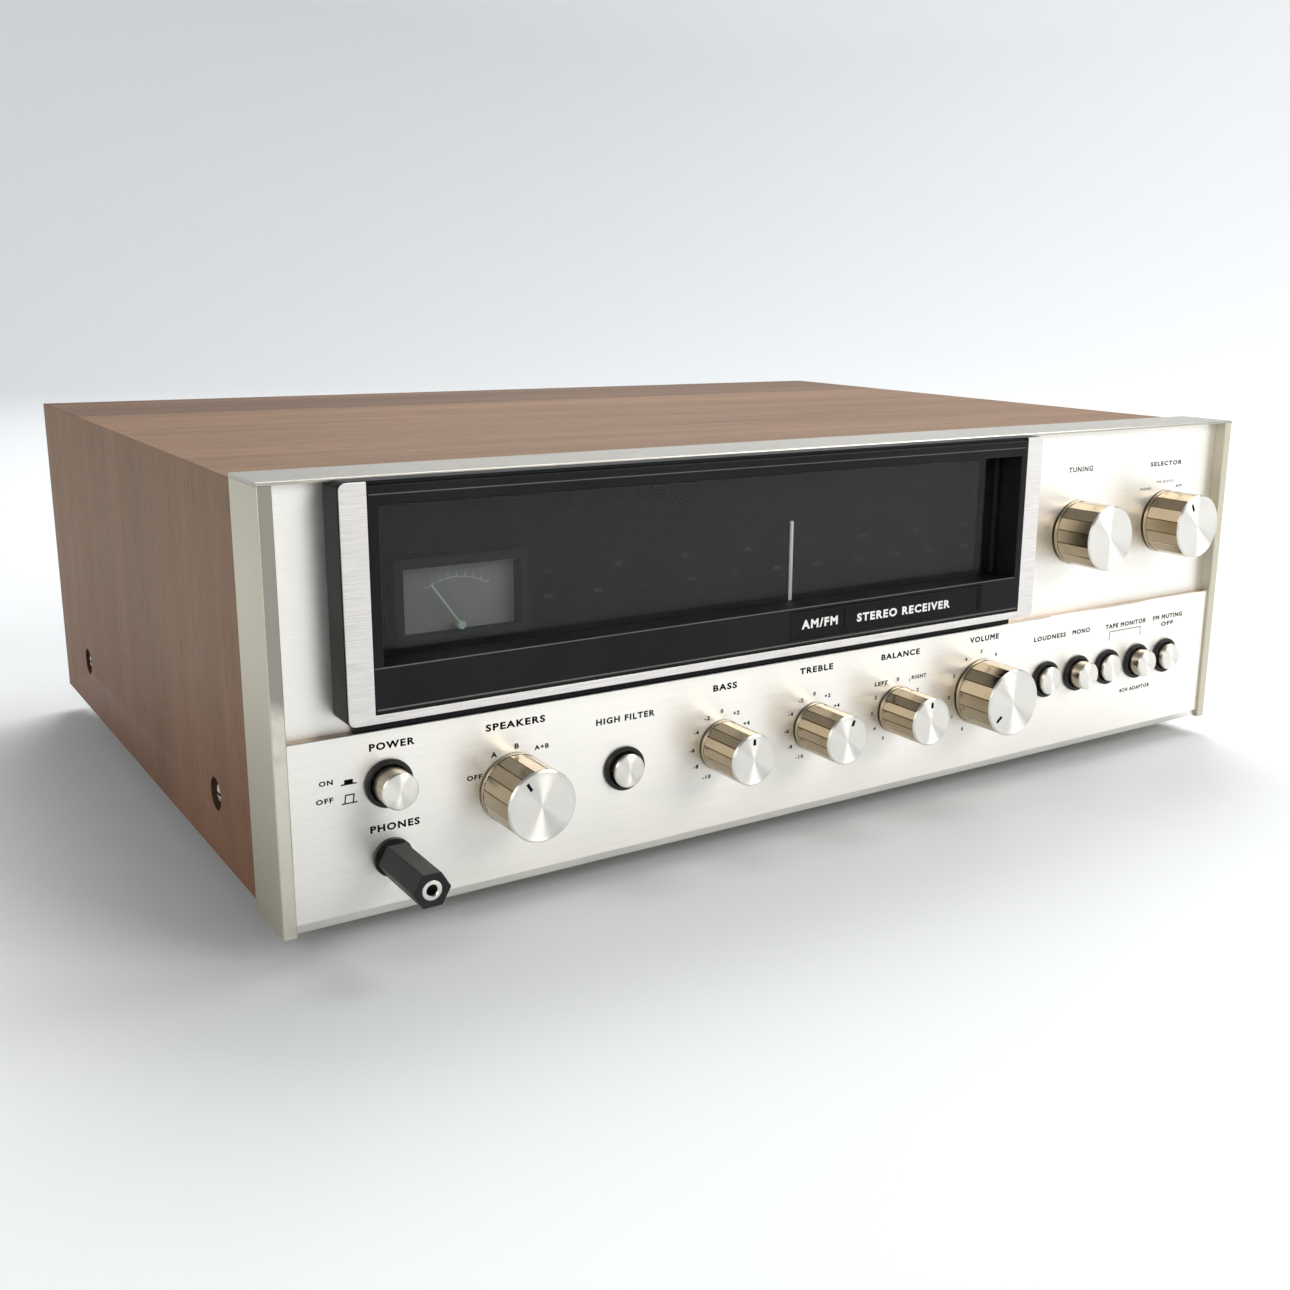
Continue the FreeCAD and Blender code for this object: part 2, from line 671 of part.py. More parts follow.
def tuning_capacitor():
    front = DRUM_DEPTHS[1] + 4
    body = box((DRUM_X - 21, DRUM_X + 21), (front, front + 48), (DRUM_Z - 22, DRUM_Z + 22))
    return body.cut(rod(DRUM_X, DRUM_Z, SHAFT_R + FIT_GAP, (front - 1, front + 9)))


# ---- push buttons ----------------------------------------------------------------------
def push_button(name):
    x, z, length = BUTTONS[name]
    face = LOWER_PANEL_FRONT - length
    profile = [
        (0, face),
        (BUTTON_R - 0.6, face),
        (BUTTON_R, face + 0.6),
        (BUTTON_R, BUTTON_DEPTH),
        (PLUNGER_R, BUTTON_DEPTH),
        (PLUNGER_R, PLUNGER_END - 8.0),
        (0, PLUNGER_END - 8.0),
    ]
    return turned(x, z, profile)


def button_collar(x, z):
    front = LOWER_PANEL_FRONT
    profile = [
        (BUTTON_R + 0.3, UPPER_PANEL_FRONT),
        (BUTTON_R + 1.15, UPPER_PANEL_FRONT),
        (BUTTON_R + 1.15, front),
        (BUTTON_COLLAR_R, front),
        (BUTTON_COLLAR_R, front - BUTTON_COLLAR_OUT + 0.5),
        (BUTTON_COLLAR_R - 0.5, front - BUTTON_COLLAR_OUT),
        (BUTTON_R + 0.6, front - BUTTON_COLLAR_OUT),
        (BUTTON_R + 0.3, front - BUTTON_COLLAR_OUT + 0.4),
    ]
    return turned(x, z, profile)


def push_switch(x, z):
    """Switch body behind the subpanel; the plunger runs in it."""
    body = box((x - 7, x + 7), (SUBPANEL_BACK, SUBPANEL_BACK + 26), (z - 6, z + 6))
    return body.cut(rod(x, z, PLUNGER_R + FIT_GAP, (SUBPANEL_BACK - 1, SUBPANEL_BACK + 14)))


# ---- headphone socket and the adapter in it ------------------------------------------------
def phones_jack():
    """Ferrule on the panel and the socket body behind it."""
    front = LOWER_PANEL_FRONT
    ferrule = rod(JACK_X, JACK_Z, 6.6, (front - 1.6, front))
    barrel = rod(JACK_X, JACK_Z, 4.7, (front - 0.5, SUBPANEL_BACK + 1))
    body = box((JACK_X - 9, JACK_X + 9), (SUBPANEL_BACK + 0.1, SUBPANEL_BACK + 8), (JACK_Z - 8, JACK_Z + 8))
    jack = ferrule.fuse(barrel).fuse(body)
    return jack.cut(rod(JACK_X, JACK_Z, PLUG_R + FIT_GAP, (front - 3, SUBPANEL_BACK + 10)))


def phone_adapter():
    """Hexagonal sleeve round the adapter's metal barrel."""
    sleeve = hexagon(JACK_X, JACK_Z, ADAPTER_CORNER_R, (ADAPTER_FRONT, ADAPTER_BACK))
    corners = edges_along(sleeve, V(0, 1, 0))
    sleeve = sleeve.makeFillet(0.5, corners)
    return sleeve.cut(rod(JACK_X, JACK_Z, BARREL_R + 0.02, (ADAPTER_FRONT - 1, ADAPTER_BACK + 1)))


def adapter_barrel():
    """Turned metal: small socket at the front, large plug with its rings and tip behind."""
    front = ADAPTER_FRONT
    profile = [
        (0, front),
        (BARREL_R, front),
        (BARREL_R, ADAPTER_BACK),
        (4.6, ADAPTER_BACK),
        (4.6, ADAPTER_BACK + 1.6),
        (PLUG_R, ADAPTER_BACK + 1.6),
        (PLUG_R, PLUG_END - 8.0),
        (2.0, PLUG_END - 5.5),
        (PLUG_R, PLUG_END - 3.5),
        (1.0, PLUG_END),
        (0, PLUG_END),
    ]
    barrel = turned(JACK_X, JACK_Z, profile)
    return barrel.cut(rod(JACK_X, JACK_Z, SOCKET_R, (front - 1, front + SOCKET_DEPTH)))


# ---- rear connections --------------------------------------------------------------------
def input_jacks():
    """Two rows of phono sockets on an insulating strip."""
    back = REAR_PANEL_BACK
    plate = box((-30.0, 76.0), (back, back + 1.6), (34.0, 72.0))
    pieces = [plate]
    for column in range(6):
        for z in (44.0, 62.0):
            x = -20.0 + 17.2 * column
            shell = rod(x, z, 4.15, (back + 1.6, back + 10.4))
            flange = rod(x, z, 5.6, (back + 1.6, back + 2.6))
            bore = rod(x, z, 1.6, (back + 2.6, back + 12))
            ring = rod(x, z, 3.2, (back + 8.4, back + 12))
            pieces.append(shell.fuse(flange).cut(bore).cut(ring))
    return pieces


def screw_terminals(x_first, pitch, count, z):
    """Strip of screw terminals with barriers between them."""
    back = REAR_PANEL_BACK
    x_last = x_first + pitch * (count - 1)
    strip = box((x_first - pitch * 0.6, x_last + pitch * 0.6), (back, back + 4), (z - 9, z + 9))
    for step in range(count + 1):
        x = x_first + pitch * (step - 0.5)
        strip = strip.fuse(box((x - 0.7, x + 0.7), (back + 3.5, back + 8.5), (z - 8, z + 8)))
    pieces = [strip]
    for step in range(count):
        x = x_first + pitch * step
        head = rod(x, z, pitch * 0.34, (back + 4, back + 7))
        pieces.append(head.cut(box((x - 4, x + 4), (back + 6, back + 8), (z - 0.5, z + 0.5))))
    return pieces


def ac_outlets():
    """Two outlets with a pair of parallel slots each."""
    back = REAR_PANEL_BACK
    pieces = []
    for z in (38.0, 72.0):
        plate = box((-206.0, -172.0), (back, back + 5), (z - 12, z + 12))
        plate = plate.makeFillet(3.0, edges_along(plate, V(0, 1, 0)))
        for x in (-195.3, -182.7):
            plate = plate.cut(box((x - 0.9, x + 0.9), (back + 0.8, back + 6), (z - 3.6, z + 3.6)))
        pieces.append(plate)
    return pieces


def cord_gland():
    """Bushing that the power cord would pass through."""
    x, z = CORD_INLET
    front = REAR_PANEL_BACK - STEEL
    profile = [
        (CORD_INLET_R, front - 4),
        (5.9, front - 4),
        (5.9, REAR_PANEL_BACK),
        (9.0, REAR_PANEL_BACK),
        (9.0, REAR_PANEL_BACK + 2.0),
        (7.0, REAR_PANEL_BACK + 5.0),
        (CORD_INLET_R, REAR_PANEL_BACK + 5.0),
    ]
    return turned(x, z, profile)


def am_antenna():
    """Bar antenna and the arm that swings it out on the rear panel's pin."""
    x, d = ANTENNA_PIVOT
    z = (ANTENNA_Z - 11.8, ANTENNA_Z + 11.8)
    hub = rod_z(x, d, z, 5.0)
    arm = box((x - 14, x), (d - 2.5, ANTENNA_ROD_DEPTH), z)
    arm = arm.fuse(hub).cut(rod_z(x, d, (z[0] - 1, z[1] + 1), ANTENNA_PIN_R + FIT_GAP))
    bar_x = (x - 154, x - 6)
    arm = arm.cut(rod_x((bar_x[0] - 1, bar_x[1] + 20), ANTENNA_ROD_DEPTH, ANTENNA_Z, ANTENNA_ROD_R + 0.02))
    bar = rod_x(bar_x, ANTENNA_ROD_DEPTH, ANTENNA_Z, ANTENNA_ROD_R)
    bar = bar.makeFillet(1.5, bar.Edges[:1] + bar.Edges[2:])
    return [bar, arm]


# ---- inside ------------------------------------------------------------------------------
def power_transformer():
    base = FOOT_HEIGHT + 2 * STEEL + 0.1
    core = box((-205, -125), (110, 170), (base + 6, base + 76))
    windings = box((-195, -135), (96, 184), (base + 18, base + 64))
    frame = box((-210, -120), (106, 174), (base, base + 6))
    return core.fuse(windings).fuse(frame)


def filter_capacitors():
    base = FOOT_HEIGHT + 2 * STEEL + 0.1
    cans = []
    for x in (-90.0, -50.0):
        can = rod_z(x, 130.0, (base, base + 70), 17.5)
        cans.append(can.makeFillet(2.0, [edge for edge in can.Edges if edge.BoundBox.ZMin > base + 69]))
    return cans


def heat_sink():
    """Back plate with upright fins, behind the slots of the rear panel."""
    base = FOOT_HEIGHT + 2 * STEEL + 0.1
    plate = box((-120, 45), (278, 284), (base, base + 112))
    for step in range(14):
        x = -115.0 + 12.0 * step
        plate = plate.fuse(box((x - 1, x + 1), (283.5, 314), (base, base + 112)))
    return plate


def power_transistors():
    """Four metal can transistors on the front of the heat sink."""
    cans = []
    for x in (-96.0, -56.0, -16.0, 24.0):
        base = box((x - 12, x + 12), (276.4, 278), (62, 80))
        cans.append(base.fuse(rod(x, 71.0, 9.0, (270, 276.5))))
    return cans


def circuit_boards():
    """Amplifier, tuner and power boards with their larger components."""
    base = FOOT_HEIGHT + 2 * STEEL + 8.0
    amplifier = box((-118, 42), (200, 264), (base, base + 1.6))
    tuner = box((62, 205), (120, 300), (base, base + 1.6))
    supply = box((-205, -128), (200, 300), (base, base + 1.6))
    for step in range(8):
        x = -108.0 + 19.0 * step
        amplifier = amplifier.fuse(rod_z(x, 222.0 + 16.0 * (step % 2), (base + 1, base + 20), 5.0))
    for row in range(3):
        for column in range(3):
            x = 84.0 + 44.0 * column
            d = 150.0 + 52.0 * row
            tuner = tuner.fuse(box((x - 6, x + 6), (d - 6, d + 6), (base + 1, base + 17)))
    for step in range(3):
        supply = supply.fuse(rod_z(-190.0 + 24.0 * step, 250.0, (base + 1, base + 30), 8.0))
    return [amplifier, tuner, supply]


def main():
    os.makedirs("parts", exist_ok=True)

    export("wood_top", wood_top())
    export("wood_left_side", wood_side(-1))
    export("wood_right_side", wood_side(1))
    screws = []
    for sign in (-1, 1):
        for d, z in CASE_SCREW_PLACES:
            screws.extend(case_screw(sign, d, z))
    for x, d in FEET:
        screws.append(foot_screw(x, d))
    export("case_screws", *screws)
    export("feet", *[foot(x, d) for x, d in FEET])
    export("bottom_cover", bottom_cover())
    export("chassis_tray", chassis_tray())
    export("rear_panel", rear_panel(), antenna_bracket())

    export("trim_top_rail", top_rail())
    export("trim_left_rail", side_rail(-1))
    export("trim_right_rail", side_rail(1))
    export("lower_panel", lower_panel())
    export("upper_panel", upper_panel())
    export("front_subpanel", front_subpanel())
    export("tuner_bezel", tuner_bezel())
    export("bezel_overlay", bezel_overlay())
    export("window_frame", window_frame())
    export("nameplate", nameplate())

    export("dial_glass", dial_glass())
    export("dial_scale", dial_scale())
    export("dial_pointer", dial_pointer())
    export("pointer_rail", pointer_rail())
    export("dial_lamps", *dial_lamps())
    export("signal_meter", signal_meter())
    export("meter_needle", meter_needle())
    export("tuning_shaft", tuning_shaft())
    export("tuning_drum", tuning_drum())
    export("tuning_capacitor", tuning_capacitor())

    controls = []
    nuts = []
    for name, (x, z, radius, panel_depth, length) in KNOBS.items():
        nuts.append(control_nut(x, z))
        if name == "tuning":
            export("tuning_knob", knob(name))
            controls.append(tuning_bush())
        else:
            export(name + "_knob", knob(name), shaft(name))
            controls.append(rotary_control(name))
    export("rotary_controls", *controls)
    export("control_nuts", *nuts)

    for name in BUTTONS:
        export(name + "_button", push_button(name))
    export("button_collars", *[button_collar(x, z) for x, z, length in BUTTONS.values()])
    export("push_switches", *[push_switch(x, z) for x, z, length in BUTTONS.values()])

    export("phones_jack", phones_jack())
    export("phone_adapter", phone_adapter())
    export("adapter_barrel", adapter_barrel())

    export("input_jacks", *input_jacks())
    export("speaker_terminals", *screw_terminals(-150.0, 12.0, 8, 50.0))
    export("antenna_terminals", *screw_terminals(106.0, 12.0, 5, 50.0))
    export("ac_outlets", *ac_outlets())
    export("cord_gland", cord_gland())
    export("am_antenna", *am_antenna())

    export("power_transformer", power_transformer())
    export("filter_capacitors", *filter_capacitors())
    export("heat_sink", heat_sink())
    export("power_transistors", *power_transistors())
    export("circuit_boards", *circuit_boards())


main()
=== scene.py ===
"""Looks of a vintage stereo receiver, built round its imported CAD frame.

Metres, +Z up, front panel towards -Y. Sizes written in millimetres are multiplied by MM.
"""
import json
import math

import bmesh
import bpy
from mathutils import Matrix, Vector


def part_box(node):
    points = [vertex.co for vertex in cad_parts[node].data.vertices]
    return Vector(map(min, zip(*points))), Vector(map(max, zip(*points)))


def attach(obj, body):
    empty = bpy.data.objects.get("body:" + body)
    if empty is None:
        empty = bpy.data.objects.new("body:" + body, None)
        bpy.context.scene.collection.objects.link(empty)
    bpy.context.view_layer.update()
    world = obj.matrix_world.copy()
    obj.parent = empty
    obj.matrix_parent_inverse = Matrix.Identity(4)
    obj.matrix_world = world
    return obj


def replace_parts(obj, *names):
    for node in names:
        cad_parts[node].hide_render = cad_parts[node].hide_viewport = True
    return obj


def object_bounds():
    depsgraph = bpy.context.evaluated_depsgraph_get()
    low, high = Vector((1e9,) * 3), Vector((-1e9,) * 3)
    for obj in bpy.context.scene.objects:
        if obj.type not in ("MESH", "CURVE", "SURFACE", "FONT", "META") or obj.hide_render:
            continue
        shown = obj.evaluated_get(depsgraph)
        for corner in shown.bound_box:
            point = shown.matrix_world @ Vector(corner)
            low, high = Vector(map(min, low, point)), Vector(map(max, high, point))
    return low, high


MM = 0.001
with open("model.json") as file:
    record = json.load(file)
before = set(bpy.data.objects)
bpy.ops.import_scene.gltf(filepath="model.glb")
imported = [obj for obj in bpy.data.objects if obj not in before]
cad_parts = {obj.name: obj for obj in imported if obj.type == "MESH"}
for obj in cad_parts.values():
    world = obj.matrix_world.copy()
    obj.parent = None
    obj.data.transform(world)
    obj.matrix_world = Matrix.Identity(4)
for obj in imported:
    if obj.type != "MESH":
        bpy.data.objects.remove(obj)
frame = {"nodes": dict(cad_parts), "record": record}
CAD_LOW, CAD_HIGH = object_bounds()
NODES = frame["nodes"]
BODY_OF = {}
for body_name, members in frame["record"]["behaviour"]["bodies"].items():
    for member in members:
        BODY_OF[member] = body_name
SLOT_OF = {row["node"]: row["material_slot"] for row in frame["record"]["subparts"]}

KNOBS = ("speakers", "bass", "treble", "balance", "volume", "tuning", "selector")
BUTTONS = ("power", "high_filter", "loudness", "mono", "tape_1", "tape_2", "fm_muting")
INDEX_ANGLE = {                 # degrees clockwise from straight up, at rest
    "speakers": -32.0,
    "bass": 0.0,
    "treble": 22.0,
    "balance": 0.0,
    "volume": -128.0,
    "tuning": None,
    "selector": -27.0,
}


# ---- places read from the frame -----------------------------------------------------------
def span(node, axis):
    low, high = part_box(node)
    return low[axis], high[axis]


def centre(node):
    low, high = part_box(node)
    return (low + high) / 2


def front_centre(node):
    """Point on a piece's axis, at its front end."""
    low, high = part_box(node)
    return Vector(((low.x + high.x) / 2, low.y, (low.z + high.z) / 2))


LOWER_FACE = span("lower_panel", 1)[0]
UPPER_FACE = span("upper_panel", 1)[0]
TRIM_FRONT = span("trim_left_rail", 1)[0]


# ---- node helpers ---------------------------------------------------------------------------
def new_material(name, colour, metallic=0.0, roughness=0.5, **sockets):
    """Principled material with constants on the shader's own sockets."""
    material = bpy.data.materials.new(name)
    material.use_nodes = True
    shader = material.node_tree.nodes["Principled BSDF"]
    shader.inputs["Base Color"].default_value = (*colour, 1.0)
    shader.inputs["Metallic"].default_value = metallic
    shader.inputs["Roughness"].default_value = roughness
    for socket, value in sockets.items():
        shader.inputs[socket.replace("_", " ")].default_value = value
    material.diffuse_color = (*colour, 1.0)
    return material


def shader_of(material):
    return material.node_tree.nodes["Principled BSDF"]


def add(material, kind, **values):
    node = material.node_tree.nodes.new(kind)
    for key, value in values.items():
        setattr(node, key, value)
    return node


def link(material, source, target):
    material.node_tree.links.new(source, target)


def coordinates(material, scale=(1, 1, 1), offset=(0, 0, 0), turn=(0, 0, 0)):
    """Object coordinates, scaled: multiply by 1/metres to set the size of a pattern."""
    texture = add(material, "ShaderNodeTexCoord")
    mapping = add(material, "ShaderNodeMapping")
    mapping.inputs["Scale"].default_value = scale
    mapping.inputs["Location"].default_value = offset
    mapping.inputs["Rotation"].default_value = turn
    link(material, texture.outputs["Object"], mapping.inputs["Vector"])
    return mapping.outputs["Vector"]


def noise(material, vector, scale=1.0, detail=4.0, roughness=0.55, distortion=0.0):
    node = add(material, "ShaderNodeTexNoise")
    node.inputs["Scale"].default_value = scale
    node.inputs["Detail"].default_value = detail
    node.inputs["Roughness"].default_value = roughness
    node.inputs["Distortion"].default_value = distortion
    link(material, vector, node.inputs["Vector"])
    return node.outputs["Fac"]


def ramp(material, value, stops):
    """Colour ramp from (position, colour or grey) stops."""
    node = add(material, "ShaderNodeValToRGB")
    elements = node.color_ramp.elements
    while len(elements) < len(stops):
        elements.new(0.5)
    for element, (position, colour) in zip(elements, stops):
        element.position = position
        if isinstance(colour, (int, float)):
            colour = (colour, colour, colour)
        element.color = (*colour, 1.0)
    link(material, value, node.inputs["Fac"])
    return node.outputs["Color"]


def spread(material, value, low, high):
    """Map a 0 to 1 value onto low to high."""
    node = add(material, "ShaderNodeMapRange")
    node.inputs["From Min"].default_value = 0.3
    node.inputs["From Max"].default_value = 0.7
    node.inputs["To Min"].default_value = low
    node.inputs["To Max"].default_value = high
    link(material, value, node.inputs["Value"])
    return node.outputs["Result"]


def mix(material, factor, first, second, blend="MIX"):
    """Mix two colours; each may be a socket or a colour, and the factor a socket or a number."""
    node = add(material, "ShaderNodeMix", data_type="RGBA", blend_type=blend)
    for socket, value in ((node.inputs[0], factor), (node.inputs[6], first), (node.inputs[7], second)):
        if isinstance(value, bpy.types.NodeSocket):
            link(material, value, socket)
        elif isinstance(value, tuple):
            socket.default_value = (*value, 1.0)
        else:
            socket.default_value = value
    return node.outputs[2]


def bump(material, height, strength, distance, normal=None):
    node = add(material, "ShaderNodeBump")
    node.inputs["Strength"].default_value = strength
    node.inputs["Distance"].default_value = distance
    link(material, height, node.inputs["Height"])
    if normal is not None:
        link(material, normal, node.inputs["Normal"])
    return node.outputs["Normal"]


def finish_surface(material, colour=None, roughness=None, normal=None):
    shader = shader_of(material)
    if colour is not None:
        link(material, colour, shader.inputs["Base Color"])
    if roughness is not None:
        link(material, roughness, shader.inputs["Roughness"])
    if normal is not None:
        link(material, normal, shader.inputs["Normal"])
    return material


# ---- materials ------------------------------------------------------------------------------
def brushed(name, colour, along, roughness, streak=0.9, contrast=0.05, depth=0.00002, drawn_out=0.0):
    """Metal brushed along one axis: long fine streaks in colour, roughness and height.

    Drawn_out is how far the highlights are drawn out across the brushing.
    """
    material = new_material(name, colour, metallic=1.0, roughness=roughness)
    if drawn_out:
        shader = shader_of(material)
        shader.inputs["Anisotropic"].default_value = drawn_out
        shader.inputs["Anisotropic Rotation"].default_value = 0.25
        tangent = add(material, "ShaderNodeTangent", direction_type="RADIAL", axis="Z")
        link(material, tangent.outputs["Tangent"], shader.inputs["Tangent"])
    across = 1.0 / (streak * MM)
    scale = [across, across, across]
    scale[along] = across / 40.0
    fine = coordinates(material, scale)
    streaks = noise(material, fine, detail=5.0, roughness=0.7)
    broad = noise(material, coordinates(material, (9.0, 9.0, 9.0)), detail=2.0)
    dark = tuple(channel * (1 - contrast) for channel in colour)
    light = tuple(min(1.0, channel * (1 + contrast)) for channel in colour)
    tone = ramp(material, streaks, [(0.3, dark), (0.7, light)])
    cloud = ramp(material, broad, [(0.3, 0.94), (0.7, 1.0)])
    tone = mix(material, 1.0, tone, cloud, "MULTIPLY")
    rough = spread(material, streaks, roughness - 0.06, roughness + 0.07)
    normal = bump(material, streaks, 0.35, depth)
    return finish_surface(material, tone, rough, normal)


def tarnished(name, colour, roughness):
    """Plain metal with faint marks, its upper half painted darker and brownish as painted shade, with a
    cloudy edge.
    """
    material = new_material(name, colour, metallic=1.0, roughness=roughness)
    split = add(material, "ShaderNodeSeparateXYZ")
    link(material, coordinates(material), split.inputs["Vector"])
    cloud = noise(material, coordinates(material, (70, 70, 70)), detail=5.0, roughness=0.6)
    wander = spread(material, cloud, -12 * MM, 12 * MM)
    height = add(material, "ShaderNodeMath", operation="ADD")
    link(material, split.outputs["Z"], height.inputs[0])
    link(material, wander, height.inputs[1])
    start = add(material, "ShaderNodeMapRange")
    start.inputs["From Min"].default_value = 70 * MM
    start.inputs["From Max"].default_value = 94 * MM
    link(material, height.outputs["Value"], start.inputs["Value"])
    # painted shade: the darker, browner colour of the upper part
    marks_and_shade_tone = tuple(channel * share for channel, share in zip(colour, (0.46, 0.44, 0.45)))
    marks = noise(material, coordinates(material, (420, 420, 420)), detail=4.0)
    light = ramp(material, marks, [(0.35, tuple(channel * 0.95 for channel in colour)), (0.65, colour)])
    tone = mix(material, start.outputs["Result"], light, marks_and_shade_tone)
    return finish_surface(material, tone, spread(material, marks, roughness - 0.04, roughness + 0.05))


def lit(name, colour):
    """Pale plastic with a faint painted glow."""
    material = moulded(name, colour, 0.4)
    shader = shader_of(material)
    # painted glow: the pointer is no lamp
    shader.inputs["Emission Color"].default_value = (*colour, 1.0)
    shader.inputs["Emission Strength"].default_value = 0.35
    return material


def turned(name, colour, roughness, ring=0.22, depth=0.000012):
    """Lathe-turned face: concentric rings round the piece's own Y axis."""
    material = new_material(
        name, colour, metallic=1.0, roughness=roughness, Anisotropic=0.95, Anisotropic_Rotation=0.25,
    )
    wave = add(material, "ShaderNodeTexWave", wave_type="RINGS", rings_direction="Y")
    wave.inputs["Scale"].default_value = 1.0 / (ring * MM) / 20.0
    wave.inputs["Distortion"].default_value = 0.0
    wave.inputs["Detail"].default_value = 2.0
    link(material, coordinates(material), wave.inputs["Vector"])
    tangent = add(material, "ShaderNodeTangent", direction_type="RADIAL", axis="Y")
    link(material, tangent.outputs["Tangent"], shader_of(material).inputs["Tangent"])
    normal = bump(material, wave.outputs["Fac"], 0.12, depth)
    haze = noise(material, coordinates(material, (60, 60, 60)), detail=2.0)
    rough = spread(material, haze, roughness - 0.02, roughness + 0.03)
    return finish_surface(material, None, rough, normal)


def plated(name, colour, roughness):
    """Polished or plated metal with faint handling marks."""
    material = new_material(name, colour, metallic=1.0, roughness=roughness)
    marks = noise(material, coordinates(material, (260, 260, 260)), detail=6.0, roughness=0.7)
    rough = spread(material, marks, max(0.03, roughness - 0.05), roughness + 0.08)
    marks_and_shade_tone = tuple(channel * 0.9 for channel in colour)
    tone = ramp(material, marks, [(0.3, marks_and_shade_tone), (0.65, colour)])
    return finish_surface(material, tone, rough, bump(material, marks, 0.08, 0.00003))


def moulded(name, colour, roughness, grain=0.35, strength=0.12, sheen=0.3):
    """Moulded plastic or paint: fine texture, slightly uneven gloss, a little dust in the tone."""
    material = new_material(name, colour, roughness=roughness, Specular_IOR_Level=sheen)
    texture = noise(material, coordinates(material, (1 / (grain * MM),) * 3), detail=2.0)
    cloud = noise(material, coordinates(material, (28, 28, 28)), detail=4.0)
    dusty = tuple(channel * 1.25 + 0.003 for channel in colour)
    tone = ramp(material, cloud, [(0.35, colour), (0.75, dusty)])
    rough = spread(material, cloud, roughness - 0.05, roughness + 0.08)
    return finish_surface(material, tone, rough, bump(material, texture, strength, 0.00004))


def veneer(name, along, greyer=0.0, calm=0.0, band=None):
    """Walnut veneer: broad figure, fine straight grain and short dark pores along one axis.

    Calm draws the light and dark of the figure together. Behind the depth given as band, a second,
    darker leaf of veneer is laid.
    """
    material = new_material(name, (0.25, 0.16, 0.1), roughness=0.5, Specular_IOR_Level=0.22)

    def grain_space(across, stretch, offset):
        scale = [across, across, across]
        scale[along] = across / stretch
        return coordinates(material, scale, offset)

    figure = noise(material, grain_space(42.0, 14.0, (0.3, 1.7, 0.4)), detail=4.0, distortion=0.6)
    lines = noise(material, grain_space(420.0, 45.0, (4.1, 0.2, 2.0)), detail=5.0, roughness=0.65)
    pores = noise(material, grain_space(1500.0, 22.0, (1.1, 3.0, 0.7)), detail=2.0, roughness=0.4)
    light = (0.335, 0.195, 0.095)
    middle = (0.240, 0.130, 0.062)
    dark = (0.145, 0.076, 0.038)
    light = tuple(a + (b - a) * calm for a, b in zip(light, middle))
    dark = tuple(a + (b - a) * calm for a, b in zip(dark, middle))
    base = ramp(material, figure, [(0.28, dark), (0.5, middle), (0.74, light)])
    fine = ramp(material, lines, [(0.3, (0.66, 0.62, 0.6)), (0.62, (1.06, 1.05, 1.04))])
    tone = mix(material, 0.85, base, fine, "MULTIPLY")
    pore_mask = ramp(material, pores, [(0.60, 0.0), (0.70, 1.0)])
    tone = mix(material, pore_mask, tone, (0.085, 0.052, 0.036))
    grey = (0.245, 0.215, 0.190)
    tone = mix(material, greyer, tone, grey)
    if band is not None:
        depth = add(material, "ShaderNodeSeparateXYZ")
        link(material, coordinates(material), depth.inputs["Vector"])
        behind = add(material, "ShaderNodeMapRange")
        behind.inputs["From Min"].default_value = band - 0.4 * MM
        behind.inputs["From Max"].default_value = band + 0.4 * MM
        link(material, depth.outputs["Y"], behind.inputs["Value"])
        shade = mix(material, behind.outputs["Result"], (1.0, 1.0, 1.0), (0.66, 0.63, 0.62))
        tone = mix(material, 1.0, tone, shade, "MULTIPLY")
    rough = spread(material, lines, 0.45, 0.62)
    normal = bump(material, lines, 0.25, 0.00006)
    normal = bump(material, pores, 0.25, 0.00005, normal)
    return finish_surface(material, tone, rough, normal)


def stained(material):
    """Redder and darker wood towards the foot of the side boards, in soft clouds."""
    shader = shader_of(material)
    tone = shader.inputs["Base Color"].links[0].from_socket
    split = add(material, "ShaderNodeSeparateXYZ")
    link(material, coordinates(material), split.inputs["Vector"])
    cloud = noise(material, coordinates(material, (16, 16, 16), (2.0, 5.0, 1.0)), detail=4.0)
    height = add(material, "ShaderNodeMath", operation="ADD")
    link(material, split.outputs["Z"], height.inputs[0])
    link(material, spread(material, cloud, -30 * MM, 30 * MM), height.inputs[1])
    foot = add(material, "ShaderNodeMapRange")
    foot.inputs["From Min"].default_value = 95 * MM
    foot.inputs["From Max"].default_value = 15 * MM
    link(material, height.outputs["Value"], foot.inputs["Value"])
    red = mix(material, foot.outputs["Result"], (1.0, 1.0, 1.0), (0.90, 0.72, 0.66))
    link(material, mix(material, 1.0, tone, red, "MULTIPLY"), shader.inputs["Base Color"])
    return material


def smoked_glass():
    """Thin dark glass: mostly clear, with a grey body and a polished surface."""
    material = new_material(
        "smoked_glass", (0.012, 0.013, 0.013), roughness=0.02, Specular_IOR_Level=0.75, Alpha=0.25,
    )
    haze = noise(material, coordinates(material, (18, 18, 18)), detail=3.0)
    return finish_surface(material, None, spread(material, haze, 0.005, 0.03))


DARK_LEAF = 77 * MM             # width of the darker veneer along the rear of the top

